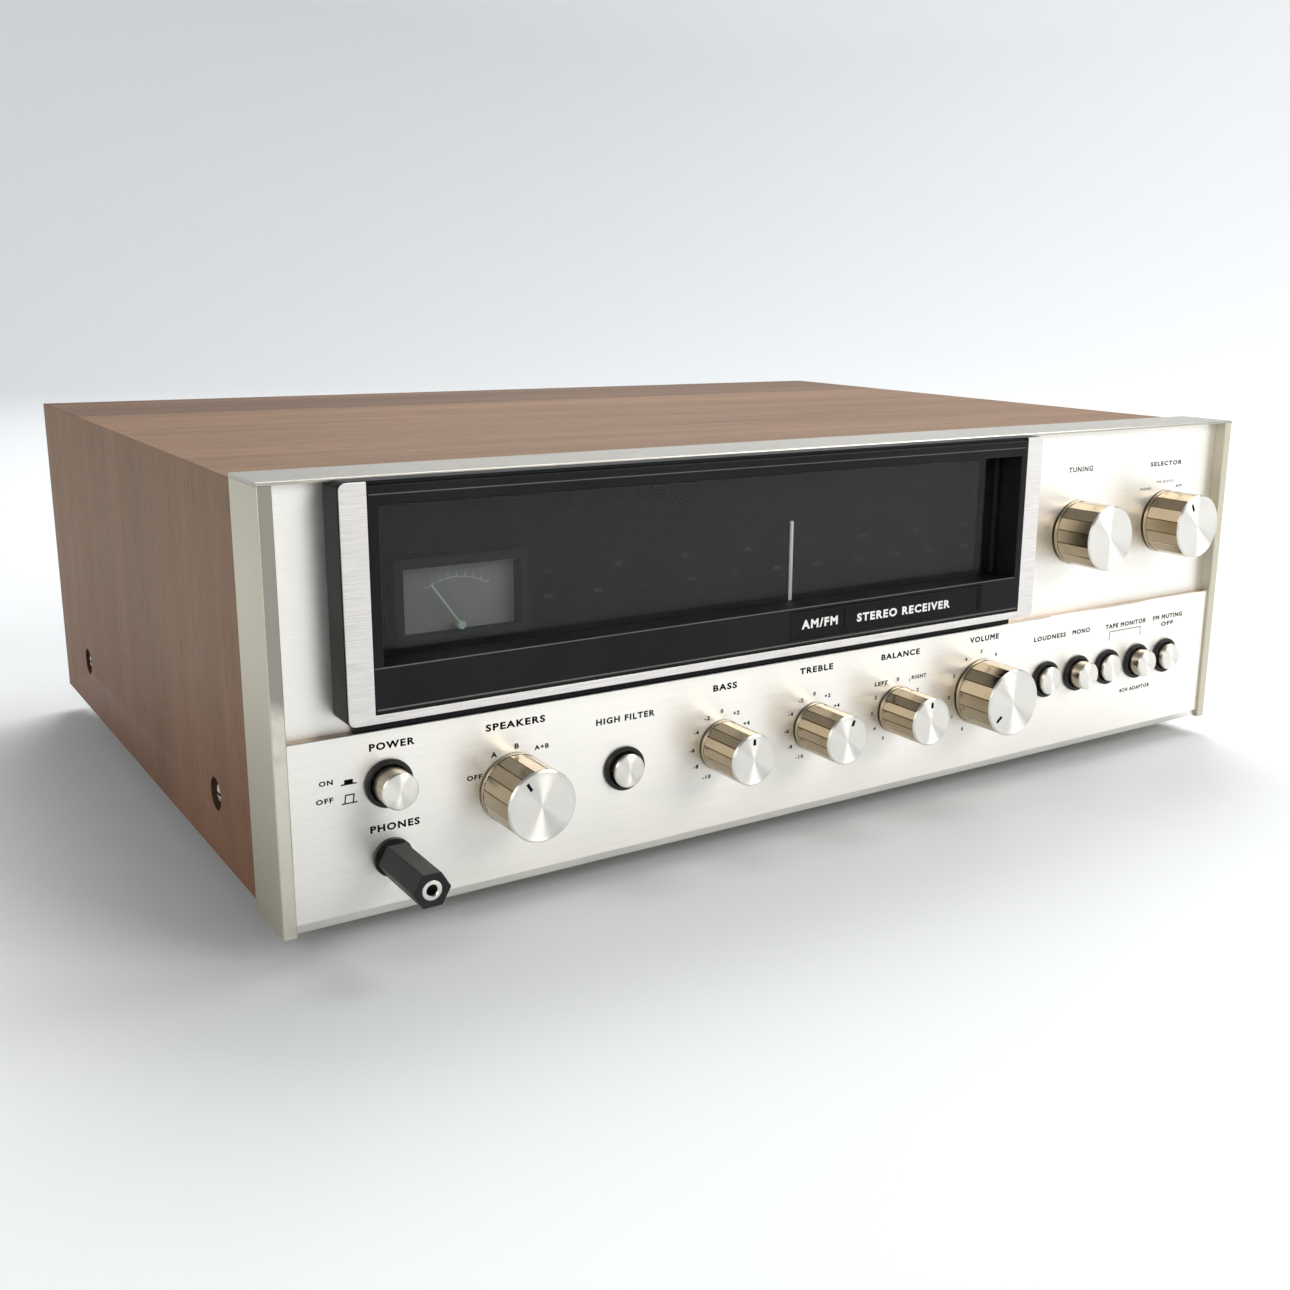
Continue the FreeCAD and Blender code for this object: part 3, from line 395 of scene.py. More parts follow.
MATERIALS = {
    "walnut_top": veneer("walnut_top", 0, 0.04, 0.25, span("wood_top", 1)[1] - DARK_LEAF),
    "walnut_side": stained(veneer("walnut_side", 2, 0.10, 0.55)),
    "panel": brushed("panel", (0.94, 0.915, 0.865), 0, 0.40, 0.32, 0.04, 0.000010, 0.6),
    # tan colour of the polished ledge: painted reflection
    "ledge": plated("ledge", (0.40, 0.29, 0.20), 0.22),
    # front of the left rail, with painted shade on its upper half
    "rail_front": tarnished("rail_front", (0.70, 0.67, 0.58), 0.38),
    "overlay": brushed("overlay", (0.72, 0.695, 0.675), 0, 0.40, 0.36, 0.20, 0.00006, 0.5),
    "trim": brushed("trim", (0.60, 0.565, 0.455), 2, 0.42, 0.7, 0.03),
    # the trim metal painted darker for the top rail: painted shade
    "trim_top": brushed("trim_top", (0.47, 0.445, 0.395), 0, 0.30, 0.7, 0.03),
    "bezel_black": moulded("bezel_black", (0.006, 0.006, 0.0065), 0.40, sheen=0.10),
    "frame_black": moulded("frame_black", (0.009, 0.009, 0.010), 0.34, sheen=0.10),
    "bare_wood": moulded("bare_wood", (0.050, 0.024, 0.014), 0.7, 0.6, 0.3, 0.1),
    # painted highlight colour for the window's edges
    "painted_edge_highlight": moulded("painted_edge_highlight", (0.11, 0.105, 0.098), 0.45),
    "collar_black": moulded("collar_black", (0.012, 0.012, 0.012), 0.42),
    "adapter_black": moulded("adapter_black", (0.013, 0.013, 0.014), 0.42, 0.3, 0.2, 0.2),
    "scale_black": moulded("scale_black", (0.006, 0.0065, 0.007), 0.5, 0.35, 0.02, 0.15),
    "meter_face": moulded("meter_face", (0.34, 0.345, 0.335), 0.6, 0.35, 0.03),
    "knob_side": plated("knob_side", (0.48, 0.39, 0.27), 0.18),
    "knob_face": turned("knob_face", (0.84, 0.815, 0.765), 0.36),
    "button_face": turned("button_face", (0.84, 0.815, 0.76), 0.32),
    "button_side": plated("button_side", (0.52, 0.45, 0.35), 0.22),
    "nickel": plated("nickel", (0.78, 0.76, 0.71), 0.20),
    "brass_pin": plated("brass_pin", (0.72, 0.62, 0.42), 0.30),
    "zinc": plated("zinc", (0.62, 0.60, 0.52), 0.36),
    "cast": plated("cast", (0.52, 0.52, 0.51), 0.50),
    "rear_paint": moulded("rear_paint", (0.030, 0.030, 0.033), 0.45, 0.5, 0.3),
    "phenolic": moulded("phenolic", (0.020, 0.018, 0.017), 0.40),
    "board": moulded("board", (0.32, 0.22, 0.11), 0.55),
    "ivory": moulded("ivory", (0.62, 0.60, 0.52), 0.45),
    "iron": moulded("iron", (0.055, 0.052, 0.050), 0.55),
    "can_blue": moulded("can_blue", (0.03, 0.07, 0.20), 0.35),
    "ink": moulded("ink", (0.002, 0.002, 0.003), 0.7, sheen=0.03),
    "print_white": moulded("print_white", (0.78, 0.78, 0.76), 0.5),
    "print_dim": moulded("print_dim", (0.05, 0.055, 0.052), 0.6),
    "meter_ink": moulded("meter_ink", (0.62, 0.80, 0.66), 0.6),
    "pointer": lit("pointer", (0.95, 0.95, 0.92)),
    "meter_shell": moulded("meter_shell", (0.020, 0.020, 0.021), 0.5, 0.35, 0.02, 0.15),
    "glass": smoked_glass(),
}

SLOT_LOOK = {
    "plated_screw": "zinc",
    "foot_plastic": "collar_black",
    "plated_steel": "zinc",
    "black_painted_steel": "rear_paint",
    "trim_aluminium": "trim",
    "brushed_panel": "panel",
    "black_gloss_plastic": "frame_black",
    "brushed_overlay": "overlay",
    "nameplate_black": "bezel_black",
    "smoked_glass": "glass",
    "dial_backing": "scale_black",
    "pointer_white": "pointer",
    "lamp_glass": "ivory",
    "meter_housing": "meter_shell",
    "drum_plastic": "ivory",
    "cast_housing": "cast",
    "black_collar": "collar_black",
    "switch_body": "board",
    "adapter_plastic": "adapter_black",
    "adapter_metal": "nickel",
    "jack_metal": "nickel",
    "terminal_plastic": "phenolic",
    "antenna_plastic": "phenolic",
    "transformer_iron": "iron",
    "capacitor_can": "can_blue",
    "anodised_fins": "iron",
    "transistor_can": "nickel",
    "board_phenolic": "board",
    "turned_knob": "knob_side",
    "turned_button": "button_side",
    "walnut_veneer": "walnut_side",
}


def dress(obj, look):
    obj.data.materials.clear()
    obj.data.materials.append(MATERIALS[look])


# ---- mesh helpers ---------------------------------------------------------------------------
def place(name, mesh, look, body, origin=(0, 0, 0)):
    obj = bpy.data.objects.new(name, mesh)
    obj.location = origin
    bpy.context.scene.collection.objects.link(obj)
    dress(obj, look)
    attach(obj, body)
    return obj


def from_bmesh(name, bm, smooth=30.0):
    bmesh.ops.recalc_face_normals(bm, faces=bm.faces)
    mesh = bpy.data.meshes.new(name)
    bm.to_mesh(mesh)
    bm.free()
    mesh.shade_smooth()
    mesh.set_sharp_from_angle(angle=math.radians(smooth))
    return mesh


def piece(name, bm, look, node, origin=(0, 0, 0), smooth=30.0):
    """Make a bmesh into a piece that rides with a node."""
    return place(name, from_bmesh(name, bm, smooth), look, BODY_OF[node], origin)


def soften(obj, width, segments=2, angle=35.0):
    """Round the sharp edges of a piece a little, so that they catch the light."""
    modifier = obj.modifiers.new("edges", "BEVEL")
    modifier.width = width * MM
    modifier.segments = segments
    modifier.limit_method = "ANGLE"
    modifier.angle_limit = math.radians(angle)
    modifier.harden_normals = True
    return obj


def refined(node, look, width, segments=2):
    """The CAD node's own shape with softened edges, standing for the node."""
    bm = bmesh.new()
    bm.from_mesh(NODES[node].data)
    bmesh.ops.remove_doubles(bm, verts=bm.verts, dist=1e-6)
    bmesh.ops.dissolve_limit(bm, angle_limit=math.radians(0.3), verts=bm.verts, edges=bm.edges)
    obj = piece(node + "_body", bm, look, node)
    soften(obj, width, segments)
    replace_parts(obj, node)
    return obj


def lathe(bm, profile, segments=96, matrix=Matrix()):
    """Add a closed solid turned about Y to a bmesh, from (radius, y) points in metres."""
    rings = []
    for radius, y in profile:
        if radius < 1e-9:
            rings.append([bm.verts.new(matrix @ Vector((0, y, 0)))])
            continue
        ring = []
        for step in range(segments):
            angle = 2 * math.pi * step / segments
            point = Vector((radius * math.sin(angle), y, radius * math.cos(angle)))
            ring.append(bm.verts.new(matrix @ point))
        rings.append(ring)
    for first, second in zip(rings, rings[1:] + rings[:1]):
        for step in range(segments):
            after = (step + 1) % segments
            if len(first) == 1 and len(second) == 1:
                break
            if len(first) == 1:
                bm.faces.new((first[0], second[step], second[after]))
            elif len(second) == 1:
                bm.faces.new((first[after], first[step], second[0]))
            else:
                bm.faces.new((first[after], first[step], second[step], second[after]))


def block(bm, low, high, matrix=Matrix()):
    """Add a box between two corners to a bmesh."""
    corners = []
    for x in (low[0], high[0]):
        for y in (low[1], high[1]):
            for z in (low[2], high[2]):
                corners.append(bm.verts.new(matrix @ Vector((x, y, z))))
    for face in ((0, 1, 3, 2), (4, 6, 7, 5), (0, 4, 5, 1), (2, 3, 7, 6), (0, 2, 6, 4), (1, 5, 7, 3)):
        bm.faces.new([corners[index] for index in face])


def face_look(obj, look, direction, limits=None):
    """Give the faces that look one way, between two heights if limits are given, another material."""
    obj.data.materials.append(MATERIALS[look])
    index = len(obj.data.materials) - 1
    for polygon in obj.data.polygons:
        if polygon.normal.dot(Vector(direction)) < 0.95:
            continue
        if limits and not limits[0] <= polygon.center.z <= limits[1]:
            continue
        polygon.material_index = index


def rear_parts():
    """Insulating plate of the phono sockets, and plated screws on the terminal strips."""
    rear = span("input_jacks", 1)[0]
    plate_thick = 1.62 * MM
    jacks = NODES["input_jacks"].data
    jacks.materials.append(MATERIALS["board"])
    for polygon in jacks.polygons:
        if polygon.center.y < rear + plate_thick:
            polygon.material_index = 1
    pitch = 12 * MM
    strip_thick = 4.02 * MM
    for node in ("speaker_terminals", "antenna_terminals"):
        first = span(node, 0)[0] + 0.6 * pitch
        strip = NODES[node].data
        strip.materials.append(MATERIALS["nickel"])
        for polygon in strip.polygons:
            across = (polygon.center.x - first + pitch / 2) % pitch - pitch / 2
            if polygon.center.y > rear + strip_thick and abs(across) < 0.36 * pitch:
                polygon.material_index = 1


# ---- wooden sleeve and metal trim --------------------------------------------------------------
SCREW_DEPTHS = (68.3 * MM, 277.8 * MM)      # behind the front of the trim
SCREW_HEIGHT = 37.0 * MM
RECESS_RADIUS = 6.3 * MM
DOME = ((0, 0.7), (1.8, 0.8), (3.0, 1.2), (3.6, 1.9), (3.6, 2.6))       # radius, depth in mm
WASHER = ((5.2, 2.7), (5.4, 3.0), (5.4, 3.5), (0, 3.5))


def screw_places(node):
    """Centres of the screw recesses on the outer face of a side board, and the way inwards."""
    low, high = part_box(node)
    outer, inwards = (low.x, 1) if low.x < 0 else (high.x, -1)
    height = CAD_LOW.z + SCREW_HEIGHT
    return [(Vector((outer, TRIM_FRONT + depth, height)), inwards) for depth in SCREW_DEPTHS]


def case_screw(name, turn):
    """Domed head on its washer, with a slot."""
    bm = bmesh.new()
    lathe(bm, [(radius * MM, depth * MM) for radius, depth in DOME + WASHER], 64, turn)
    piece(name, bm, "zinc", "case_screws", smooth=25)
    bm = bmesh.new()
    block(bm, (-2.3 * MM, 0.6 * MM, -0.4 * MM), (2.3 * MM, 1.6 * MM, 0.4 * MM), turn)
    piece(name + "_slot", bm, "ink", "case_screws")


def side_board(node):
    """Veneered side board with bare dark wood in the recesses, and the screw heads in them."""
    board = refined(node, "walnut_side", 0.5, 3)
    board.data.materials.append(MATERIALS["bare_wood"])
    for place_at, inwards in screw_places(node):
        for polygon in board.data.polygons:
            offset = polygon.center - place_at
            if offset.yz.length < RECESS_RADIUS and offset.x * inwards > 0.1 * MM:
                polygon.material_index = 1
        turn = Matrix.Translation(place_at) @ Matrix.Rotation(math.radians(-90 * inwards), 4, "Z")
        case_screw("%s_screw_%d" % (node, place_at.y / MM), turn)


def casing():
    """Wooden sleeve, metal trim, panels, bezel and window."""
    refined("wood_top", "walnut_top", 0.5, 3)
    side_board("wood_left_side")
    side_board("wood_right_side")
    refined("trim_top_rail", "trim_top", 0.25)
    left_rail = refined("trim_left_rail", "trim", 0.3)
    face_look(left_rail, "rail_front", (0, -1, 0))
    refined("trim_right_rail", "trim", 0.3)
    lower = refined("lower_panel", "panel", 0.2)
    ledge = span("lower_panel", 2)[1]
    # the ledge's faces take the tan of painted reflection
    face_look(lower, "ledge", (0, 0, 1), (ledge - MM, ledge + MM))
    refined("tuner_bezel", "bezel_black", 0.5, 3)
    refined("bezel_overlay", "overlay", 0.15)
    refined("window_frame", "frame_black", 0.6, 3)
    refined("nameplate", "bezel_black", 0.12)
    window_edges()
    # black strip of painted shade under the bezel
    seal()


def window_edges():
    """Lighter strips on the window's sill, on the bar under it and on the band over it: painted highlights
    along those edges.
    """
    glass_low, glass_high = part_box("dial_glass")
    frame_low, frame_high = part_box("window_frame")
    left = frame_low.x + 0.6 * MM
    right = frame_high.x - 0.6 * MM
    sill = glass_low.z - 0.1 * MM
    foot = frame_low.z + 1.1 * MM
    top = glass_high.z + 3.4 * MM
    bm = bmesh.new()
    for start, end, low, high in (
        (frame_low.x + 0.3 * MM, glass_high.x, sill - 0.45 * MM, sill - 0.1 * MM),
        (left, right, foot, foot + 0.5 * MM),
        (left, right, top, top + 0.3 * MM),
    ):
        block(bm, (start, frame_low.y - 0.04 * MM, low), (end, frame_low.y + 0.4 * MM, high))
    piece("window_edges", bm, "painted_edge_highlight", "window_frame")


def seal():
    """Black strip in the gap between the bezel and the ledge of the lower panel: painted shade standing
    for the shadow and dark reflection under the bezel.
    """
    bezel_low, bezel_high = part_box("tuner_bezel")
    ledge = span("lower_panel", 2)[1]
    low = (bezel_low.x + 6.0 * MM, LOWER_FACE + 0.7 * MM, ledge + 0.05 * MM)
    high = (bezel_high.x - 3.0 * MM, UPPER_FACE - 0.05 * MM, bezel_low.z - 0.05 * MM)
    bm = bmesh.new()
    block(bm, low, high)
    soften(piece("bezel_shade_strip", bm, "frame_black", "tuner_bezel"), 0.3)


# ---- knobs ----------------------------------------------------------------------------------
FACETS = 16
FLUTE = 0.30 * MM               # half the width of the narrow groove between two facets
FLUTE_SINK = 0.42 * MM
RIM = 0.75 * MM
SKIRT = 1.6 * MM
GROOVE = 0.3 * MM
WALL = 1.8 * MM
PANEL_GAP = 0.6 * MM
SHAFT = 3.0 * MM                # radius


def facet_ring(bm, radius, y):
    """Outline of the grip at one depth: flat facets parted by narrow grooves."""
    ring = []
    half = FLUTE / radius
    sunk = radius - FLUTE_SINK
    for step in range(FACETS):
        middle = 2 * math.pi * (step + 0.5) / FACETS
        for reach, angle in ((radius, middle - half), (sunk, middle), (radius, middle + half)):
            ring.append(bm.verts.new((reach * math.sin(angle), y, reach * math.cos(angle))))
    return ring


def join_rings(bm, rings):
    for first, second in zip(rings, rings[1:]):
        count = len(first)
        for step in range(count):
            after = (step + 1) % count
            bm.faces.new((first[after], first[step], second[step], second[after]))


def skirt_outline(radius, back):
    """Plain ring between the grip and the panel."""
    front = back - SKIRT
    inner = radius - WALL
    return [
        (inner, front - GROOVE - 0.1 * MM),
        (radius - 0.5 * MM, front - GROOVE - 0.1 * MM),
        (radius - 0.5 * MM, front),
        (radius - 0.12 * MM, front),
        (radius, front + 0.12 * MM),
        (radius, back - 0.2 * MM),
        (radius - 0.2 * MM, back),
        (inner, back),
    ]


def face_outline(radius):
    """Slightly dished face with a chamfered rim."""
    dish = radius - 0.95 * MM
    outline = []
    for step in range(9):
        share = step / 8
        outline.append((dish * share, (0.34 - 0.26 * share ** 2) * MM))
    return outline + [
        (radius - 0.75 * MM, 0),
        (radius - 0.62 * MM, 0.02 * MM),
        (radius - 0.08 * MM, 0.42 * MM),
        (radius, 0.52 * MM),
        (radius, RIM),
        (radius - WALL, RIM + 0.1 * MM),
        (0, RIM + 0.1 * MM),
    ]


def index_mark(node, middle, radius, degrees):
    """Short black line let into the knob's face."""
    turn = Matrix.Rotation(math.radians(degrees), 4, "Y")
    width = 0.55 * MM
    bm = bmesh.new()
    block(bm, (-width, 0.02 * MM, radius * 0.58), (width, 0.3 * MM, radius * 0.82), turn)
    soften(piece(node + "_index", bm, "ink", node, middle), 0.08)


def knob(name):
    """Faceted grip, turned face and skirt, index mark, and the shaft that the knob sits on."""
    node = name + "_knob"
    low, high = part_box(node)
    radius = (high.x - low.x) / 2
    middle = front_centre(node)
    panel = UPPER_FACE if name in ("tuning", "selector") else LOWER_FACE
    back = panel - PANEL_GAP - low.y
    inner = radius - WALL
    grip_end = back - SKIRT - GROOVE

    bm = bmesh.new()
    loops = []
    for reach, y in ((inner, RIM), (radius, RIM), (radius, grip_end), (inner, grip_end)):
        loops.append(facet_ring(bm, reach, y))
    join_rings(bm, loops + loops[:1])
    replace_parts(piece(node + "_grip", bm, "knob_side", node, middle, 6), node)

    bm = bmesh.new()
    lathe(bm, skirt_outline(radius, back), 128)
    piece(node + "_skirt", bm, "knob_side", node, middle)
    bm = bmesh.new()
    lathe(bm, face_outline(radius), 128)
    piece(node + "_face", bm, "knob_face", node, middle, 24)
    if INDEX_ANGLE[name] is not None:
        index_mark(node, middle, radius, INDEX_ANGLE[name])

    bm = bmesh.new()
    end = back + 0.5 * MM if name == "tuning" else high.y - low.y
    tip = 0.4 * MM
    lathe(bm, [(0, 4 * MM), (SHAFT, 4 * MM), (SHAFT, end - tip), (SHAFT - tip, end), (0, end)], 48)
    web = inner + 0.05 * MM
    lathe(bm, [(0, 1.3 * MM), (web, 1.3 * MM), (web, 3.9 * MM), (0, 3.9 * MM)], 64)
    piece(node + "_shaft", bm, "nickel", node, middle)


# ---- push buttons -----------------------------------------------------------------------------
CAP_BACK = 10 * MM              # behind the front of the trim
PLUNGER = 2.0 * MM              # radius


def button(name):
    """Cap with a turned, chamfered face, and its plunger."""
    node = name + "_button"
    low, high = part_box(node)
    radius = (high.x - low.x) / 2
    middle = front_centre(node)
    length = high.y - low.y
    cap_end = TRIM_FRONT + CAP_BACK - low.y
    rim = 0.9 * MM
    cap = [(0, rim), (radius, rim), (radius, cap_end)]
    plunger = [(PLUNGER, cap_end), (PLUNGER, length), (0, length)]
    bm = bmesh.new()
    lathe(bm, cap + plunger, 96)
    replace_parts(piece(node + "_cap", bm, "button_side", node, middle), node)
    face = [
        (0, 0.14 * MM),
        (radius * 0.5, 0.08 * MM),
        (radius - 0.75 * MM, 0),
        (radius - 0.30 * MM, 0.15 * MM),
        (radius - 0.06 * MM, 0.45 * MM),
        (radius, rim),
        (0, rim),
    ]
    bm = bmesh.new()
    lathe(bm, face, 96)
    piece(node + "_face", bm, "button_face", node, middle, 24)


# ---- headphone adapter --------------------------------------------------------------------------
# Radii of the barrel's seat in the sleeve, of its socket, its plug and its collar.
BORE = 3.38 * MM
SOCKET = 1.8 * MM
PLUG = 3.15 * MM
COLLAR = 4.6 * MM

SOCKET_DEPTH = 15 * MM
COLLAR_LENGTH = 1.6 * MM


def hexagon_reach(angle, corner, rounding):
    """Distance from the axis to a hexagon's side, its corners slightly rounded."""
    turned_by = (angle + math.pi / 6) % (math.pi / 3) - math.pi / 6
    flat = corner * math.cos(math.pi / 6) / math.cos(math.pi / 6 - abs(turned_by))
    return min(flat, corner - rounding)


def adapter_sleeve(axis, corner, length):
    """Hexagonal sleeve with a chamfered mouth."""
    steps = 144
    rounding = 0.08 * MM
    rings = []
    bm = bmesh.new()
    for kind, inset, y in (
        ("bore", 0, length),
        ("side", 0.5 * MM, length),
        ("side", 0, length - 0.5 * MM),
        ("side", 0, 0.3 * MM),
        ("side", 0.25 * MM, 0),
        ("bore", -0.2 * MM, 0),
        ("bore", 0, 0.2 * MM),
    ):
        ring = []
        for step in range(steps):
            angle = 2 * math.pi * step / steps
            side = hexagon_reach(angle, corner + rounding, rounding)
            reach = (BORE if kind == "bore" else side) - inset
            ring.append(bm.verts.new((reach * math.cos(angle), y, reach * math.sin(angle))))
        rings.append(ring)
    join_rings(bm, rings + rings[:1])
    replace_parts(piece("adapter_sleeve", bm, "adapter_black", "phone_adapter", axis, 25), "phone_adapter")


def adapter_barrel(axis, length, far):
    """Metal barrel in the sleeve: socket at the front, collar and plug at the back."""
    collar_end = length + COLLAR_LENGTH
    outline = [
        (0, SOCKET_DEPTH),
        (SOCKET, SOCKET_DEPTH),
        (SOCKET, 0.35 * MM),
        (SOCKET + 0.3 * MM, 0.05 * MM),
        (BORE - 0.45 * MM, 0.05 * MM),
        (BORE - 0.1 * MM, 0.2 * MM),
        (BORE - 0.05 * MM, length),
        (COLLAR - 0.2 * MM, length),
        (COLLAR, length + 0.2 * MM),
        (COLLAR, collar_end - 0.2 * MM),
        (COLLAR - 0.2 * MM, collar_end),
        (PLUG, collar_end),
        (PLUG, far - 8 * MM),
        (2.0 * MM, far - 5.5 * MM),
        (PLUG, far - 3.5 * MM),
        (1.0 * MM, far),
        (0, far),
    ]
    bm = bmesh.new()
    lathe(bm, outline, 96)
    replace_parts(piece("adapter_metal", bm, "nickel", "adapter_barrel", axis), "adapter_barrel")


def adapter():
    """Headphone adapter on its axis, from the front of the sleeve to the tip of the plug."""
    low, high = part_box("phone_adapter")
    axis = front_centre("phone_adapter")
    length = high.y - low.y
    adapter_sleeve(axis, (high.x - low.x) / 2, length)
    adapter_barrel(axis, length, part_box("adapter_barrel")[1].y - low.y)


# ---- lettering --------------------------------------------------------------------------------
PRINT_GAP = 0.02 * MM           # how far the ink's middle stands off its surface


class Lettering:
    """Collects words and marks on one upright plane and makes one mesh of them."""

    def __init__(self, name, y, look, node, rear=False):
        self.facing = Matrix.Rotation(math.pi if rear else 0.0, 4, "Z")
        self.name = name
        self.y = y
        self.look = look
        self.node = node
        self.bm = bmesh.new()

    def word(self, text, x, z, cap, width=None, weight=None):
        """Add a word centred on x, z with that height and width; weight thickens its strokes. In mm."""
        weight = 0.06 * cap if weight is None else weight
        curve = bpy.data.curves.new("word", "FONT")
        curve.body = text
        curve.size = cap * MM / 0.69
        curve.space_character = 1.22
        curve.extrude = 0.02 * MM
        curve.bevel_depth = weight * MM
        curve.bevel_resolution = 0
        curve.resolution_u = 3
        obj = bpy.data.objects.new("word", curve)
        bpy.context.scene.collection.objects.link(obj)
        bpy.context.view_layer.update()
        mesh = bpy.data.meshes.new_from_object(obj.evaluated_get(bpy.context.evaluated_depsgraph_get()))
        low = [min(vertex.co[axis] for vertex in mesh.vertices) for axis in range(2)]
        high = [max(vertex.co[axis] for vertex in mesh.vertices) for axis in range(2)]
        tall = cap * MM / (high[1] - low[1])
        wide = width * MM / (high[0] - low[0]) if width else tall * 1.2
        flat = 0.015 / (0.02 + weight)
        middle = Matrix.Translation((-(low[0] + high[0]) / 2, -(low[1] + high[1]) / 2, 0))
        stand = Matrix.Rotation(math.radians(90), 4, "X")
        place_at = Matrix.Translation((x * MM, self.y, z * MM))
        mesh.transform(place_at @ self.facing @ stand @ Matrix.Diagonal((wide, tall, flat, 1)) @ middle)
        self.bm.from_mesh(mesh)
        bpy.data.objects.remove(obj)
        bpy.data.curves.remove(curve)
        bpy.data.meshes.remove(mesh)

    def bar(self, x0, z0, x1, z1, thick=0.35):
        """Add a straight line between two places, in millimetres."""
        first = Vector((x0 * MM, self.y, z0 * MM))
        second = Vector((x1 * MM, self.y, z1 * MM))
        along = (second - first).normalized()
        side = along.cross(Vector((0, 1, 0))) * thick * MM / 2
        depth = Vector((0, 0.015 * MM, 0))
        corners = []
        for y in (-1, 1):
            for point in (first - side, first + side, second + side, second - side):
                corners.append(self.bm.verts.new(point + depth * y))
        for face in ((0, 1, 2, 3), (7, 6, 5, 4), (0, 4, 5, 1), (1, 5, 6, 2), (2, 6, 7, 3), (3, 7, 4, 0)):
            self.bm.faces.new([corners[index] for index in face])

    def done(self):
        piece(self.name, self.bm, self.look, self.node)


def around(node, degrees, radius):
    """Place at an angle clockwise from the top of a knob, in millimetres."""
    middle = centre(node) / MM
    angle = math.radians(degrees)
    return middle.x + radius * math.sin(angle), middle.z + radius * math.cos(angle)


LOWER_WORDS = (                 # text, node it belongs to, offset across and up, cap height, width
    ("POWER", "power_button", 1.7, 12.8, 2.55, 15.5),
    ("ON", "power_button", -20.6, 3.7, 1.75, 4.5),
    ("OFF", "power_button", -21.3, -2.2, 1.75, 5.6),
    ("PHONES", "phone_adapter", 1.4, 10.5, 2.55, 17.0),
    ("SPEAKERS", "speakers_knob", 1.3, 22.9, 2.55, 22.4),
    ("A", "speakers_knob", -7.1, 13.1, 1.9, None),
    ("B", "speakers_knob", 1.5, 14.8, 1.9, None),
    ("A+B", "speakers_knob", 11.0, 12.9, 1.75, 5.6),
    ("OFF", "speakers_knob", -14.4, 6.4, 1.75, 5.6),
    ("HIGH FILTER", "high_filter_button", 0.8, 18.8, 2.4, 24.4),
    ("BASS", "bass_knob", 1.3, 22.6, 2.55, 10.9),
    ("TREBLE", "treble_knob", 0.7, 23.3, 2.5, 16.6),
    ("BALANCE", "balance_knob", 1.1, 23.1, 2.5, 20.8),
    ("LEFT", "balance_knob", -8.7, 12.2, 1.7, 7.0),
    ("0", "balance_knob", 0.2, 12.7, 1.7, None),
    ("RIGHT", "balance_knob", 11.8, 12.3, 1.7, 8.1),
    ("VOLUME", "volume_knob", 1.3, 23.4, 2.5, 17.2),
    ("LOUDNESS", "loudness_button", 1.5, 19.0, 2.2, 20.4),
    ("MONO", "mono_button", 1.4, 19.2, 2.2, 11.6),
    ("TAPE MONITOR", "tape_1_button", 11.6, 18.9, 2.2, 28.4),
    ("4CH ADAPTOR", "tape_1_button", 21.5, -13.4, 1.9, 21.5),
    ("FM MUTING", "fm_muting_button", 0.7, 19.0, 2.2, 21.4),
    ("OFF", "fm_muting_button", 0.7, 15.5, 2.1, 8.9),
)
LOWER_BARS = (                  # node, from, to, thickness: switch signs and the tape bracket
    ("power_button", (-15.8, 2.1), (-10.6, 2.1), 0.45),
    ("power_button", (-14.7, 2.9), (-11.8, 2.9), 1.5),
    ("power_button", (-15.8, -4.3), (-10.6, -4.3), 0.42),
    ("power_button", (-14.8, -4.3), (-14.4, -1.4), 0.42),
    ("power_button", (-12.0, -4.3), (-11.6, -1.4), 0.42),
    ("power_button", (-14.5, -1.5), (-11.5, -1.5), 0.42),
    ("tape_1_button", (0.6, 12.3), (0.6, 16.4), 0.32),
    ("tape_1_button", (0.5, 16.3), (22.2, 16.3), 0.32),
    ("tape_1_button", (22.1, 16.3), (22.1, 12.2), 0.32),
)
UPPER_WORDS = (                 # as LOWER_WORDS, with the weight of the strokes
    ("TUNING", "tuning_knob", 1.0, 27.9, 2.3, 15.5, 0.10),
    ("SELECTOR", "selector_knob", -0.3, 26.9, 2.1, 22.3, 0.11),
    ("PHONO", "selector_knob", -13.7, 15.7, 1.2, 7.6, 0.02),
    ("FM AUTO", "selector_knob", -0.1, 18.4, 1.2, 12.0, 0.02),
    ("AM", "selector_knob", 9.9, 15.8, 1.3, 4.3, 0.04),
    ("AUX", "selector_knob", 16.6, 8.4, 1.2, 5.0, 0.02),
)
REAR_WORDS = (                  # as LOWER_WORDS
    ("PHONO", "input_jacks", -43.0, 22.6, 2.1, 10.5),
    ("AUX", "input_jacks", -25.8, 22.6, 2.1, 6.6),
    ("PLAY 1", "input_jacks", -8.6, 22.6, 2.1, 11.0),
    ("REC 1", "input_jacks", 8.6, 22.6, 2.1, 9.4),
    ("PLAY 2", "input_jacks", 25.8, 22.6, 2.1, 11.0),
    ("REC 2", "input_jacks", 43.0, 22.6, 2.1, 9.4),
    ("L", "input_jacks", -56.5, 9.0, 2.6, None),
    ("R", "input_jacks", -56.5, -9.0, 2.6, None),
    ("SPEAKERS", "speaker_terminals", 0.0, 14.0, 3.0, 27.0),
    ("A", "speaker_terminals", -25.0, -13.4, 2.6, None),
    ("B", "speaker_terminals", 25.0, -13.4, 2.6, None),
    ("ANTENNA", "antenna_terminals", 0.0, 14.0, 3.0, 22.0),
    ("AC OUTLETS", "ac_outlets", 0.0, 33.6, 2.6, 26.0),
)


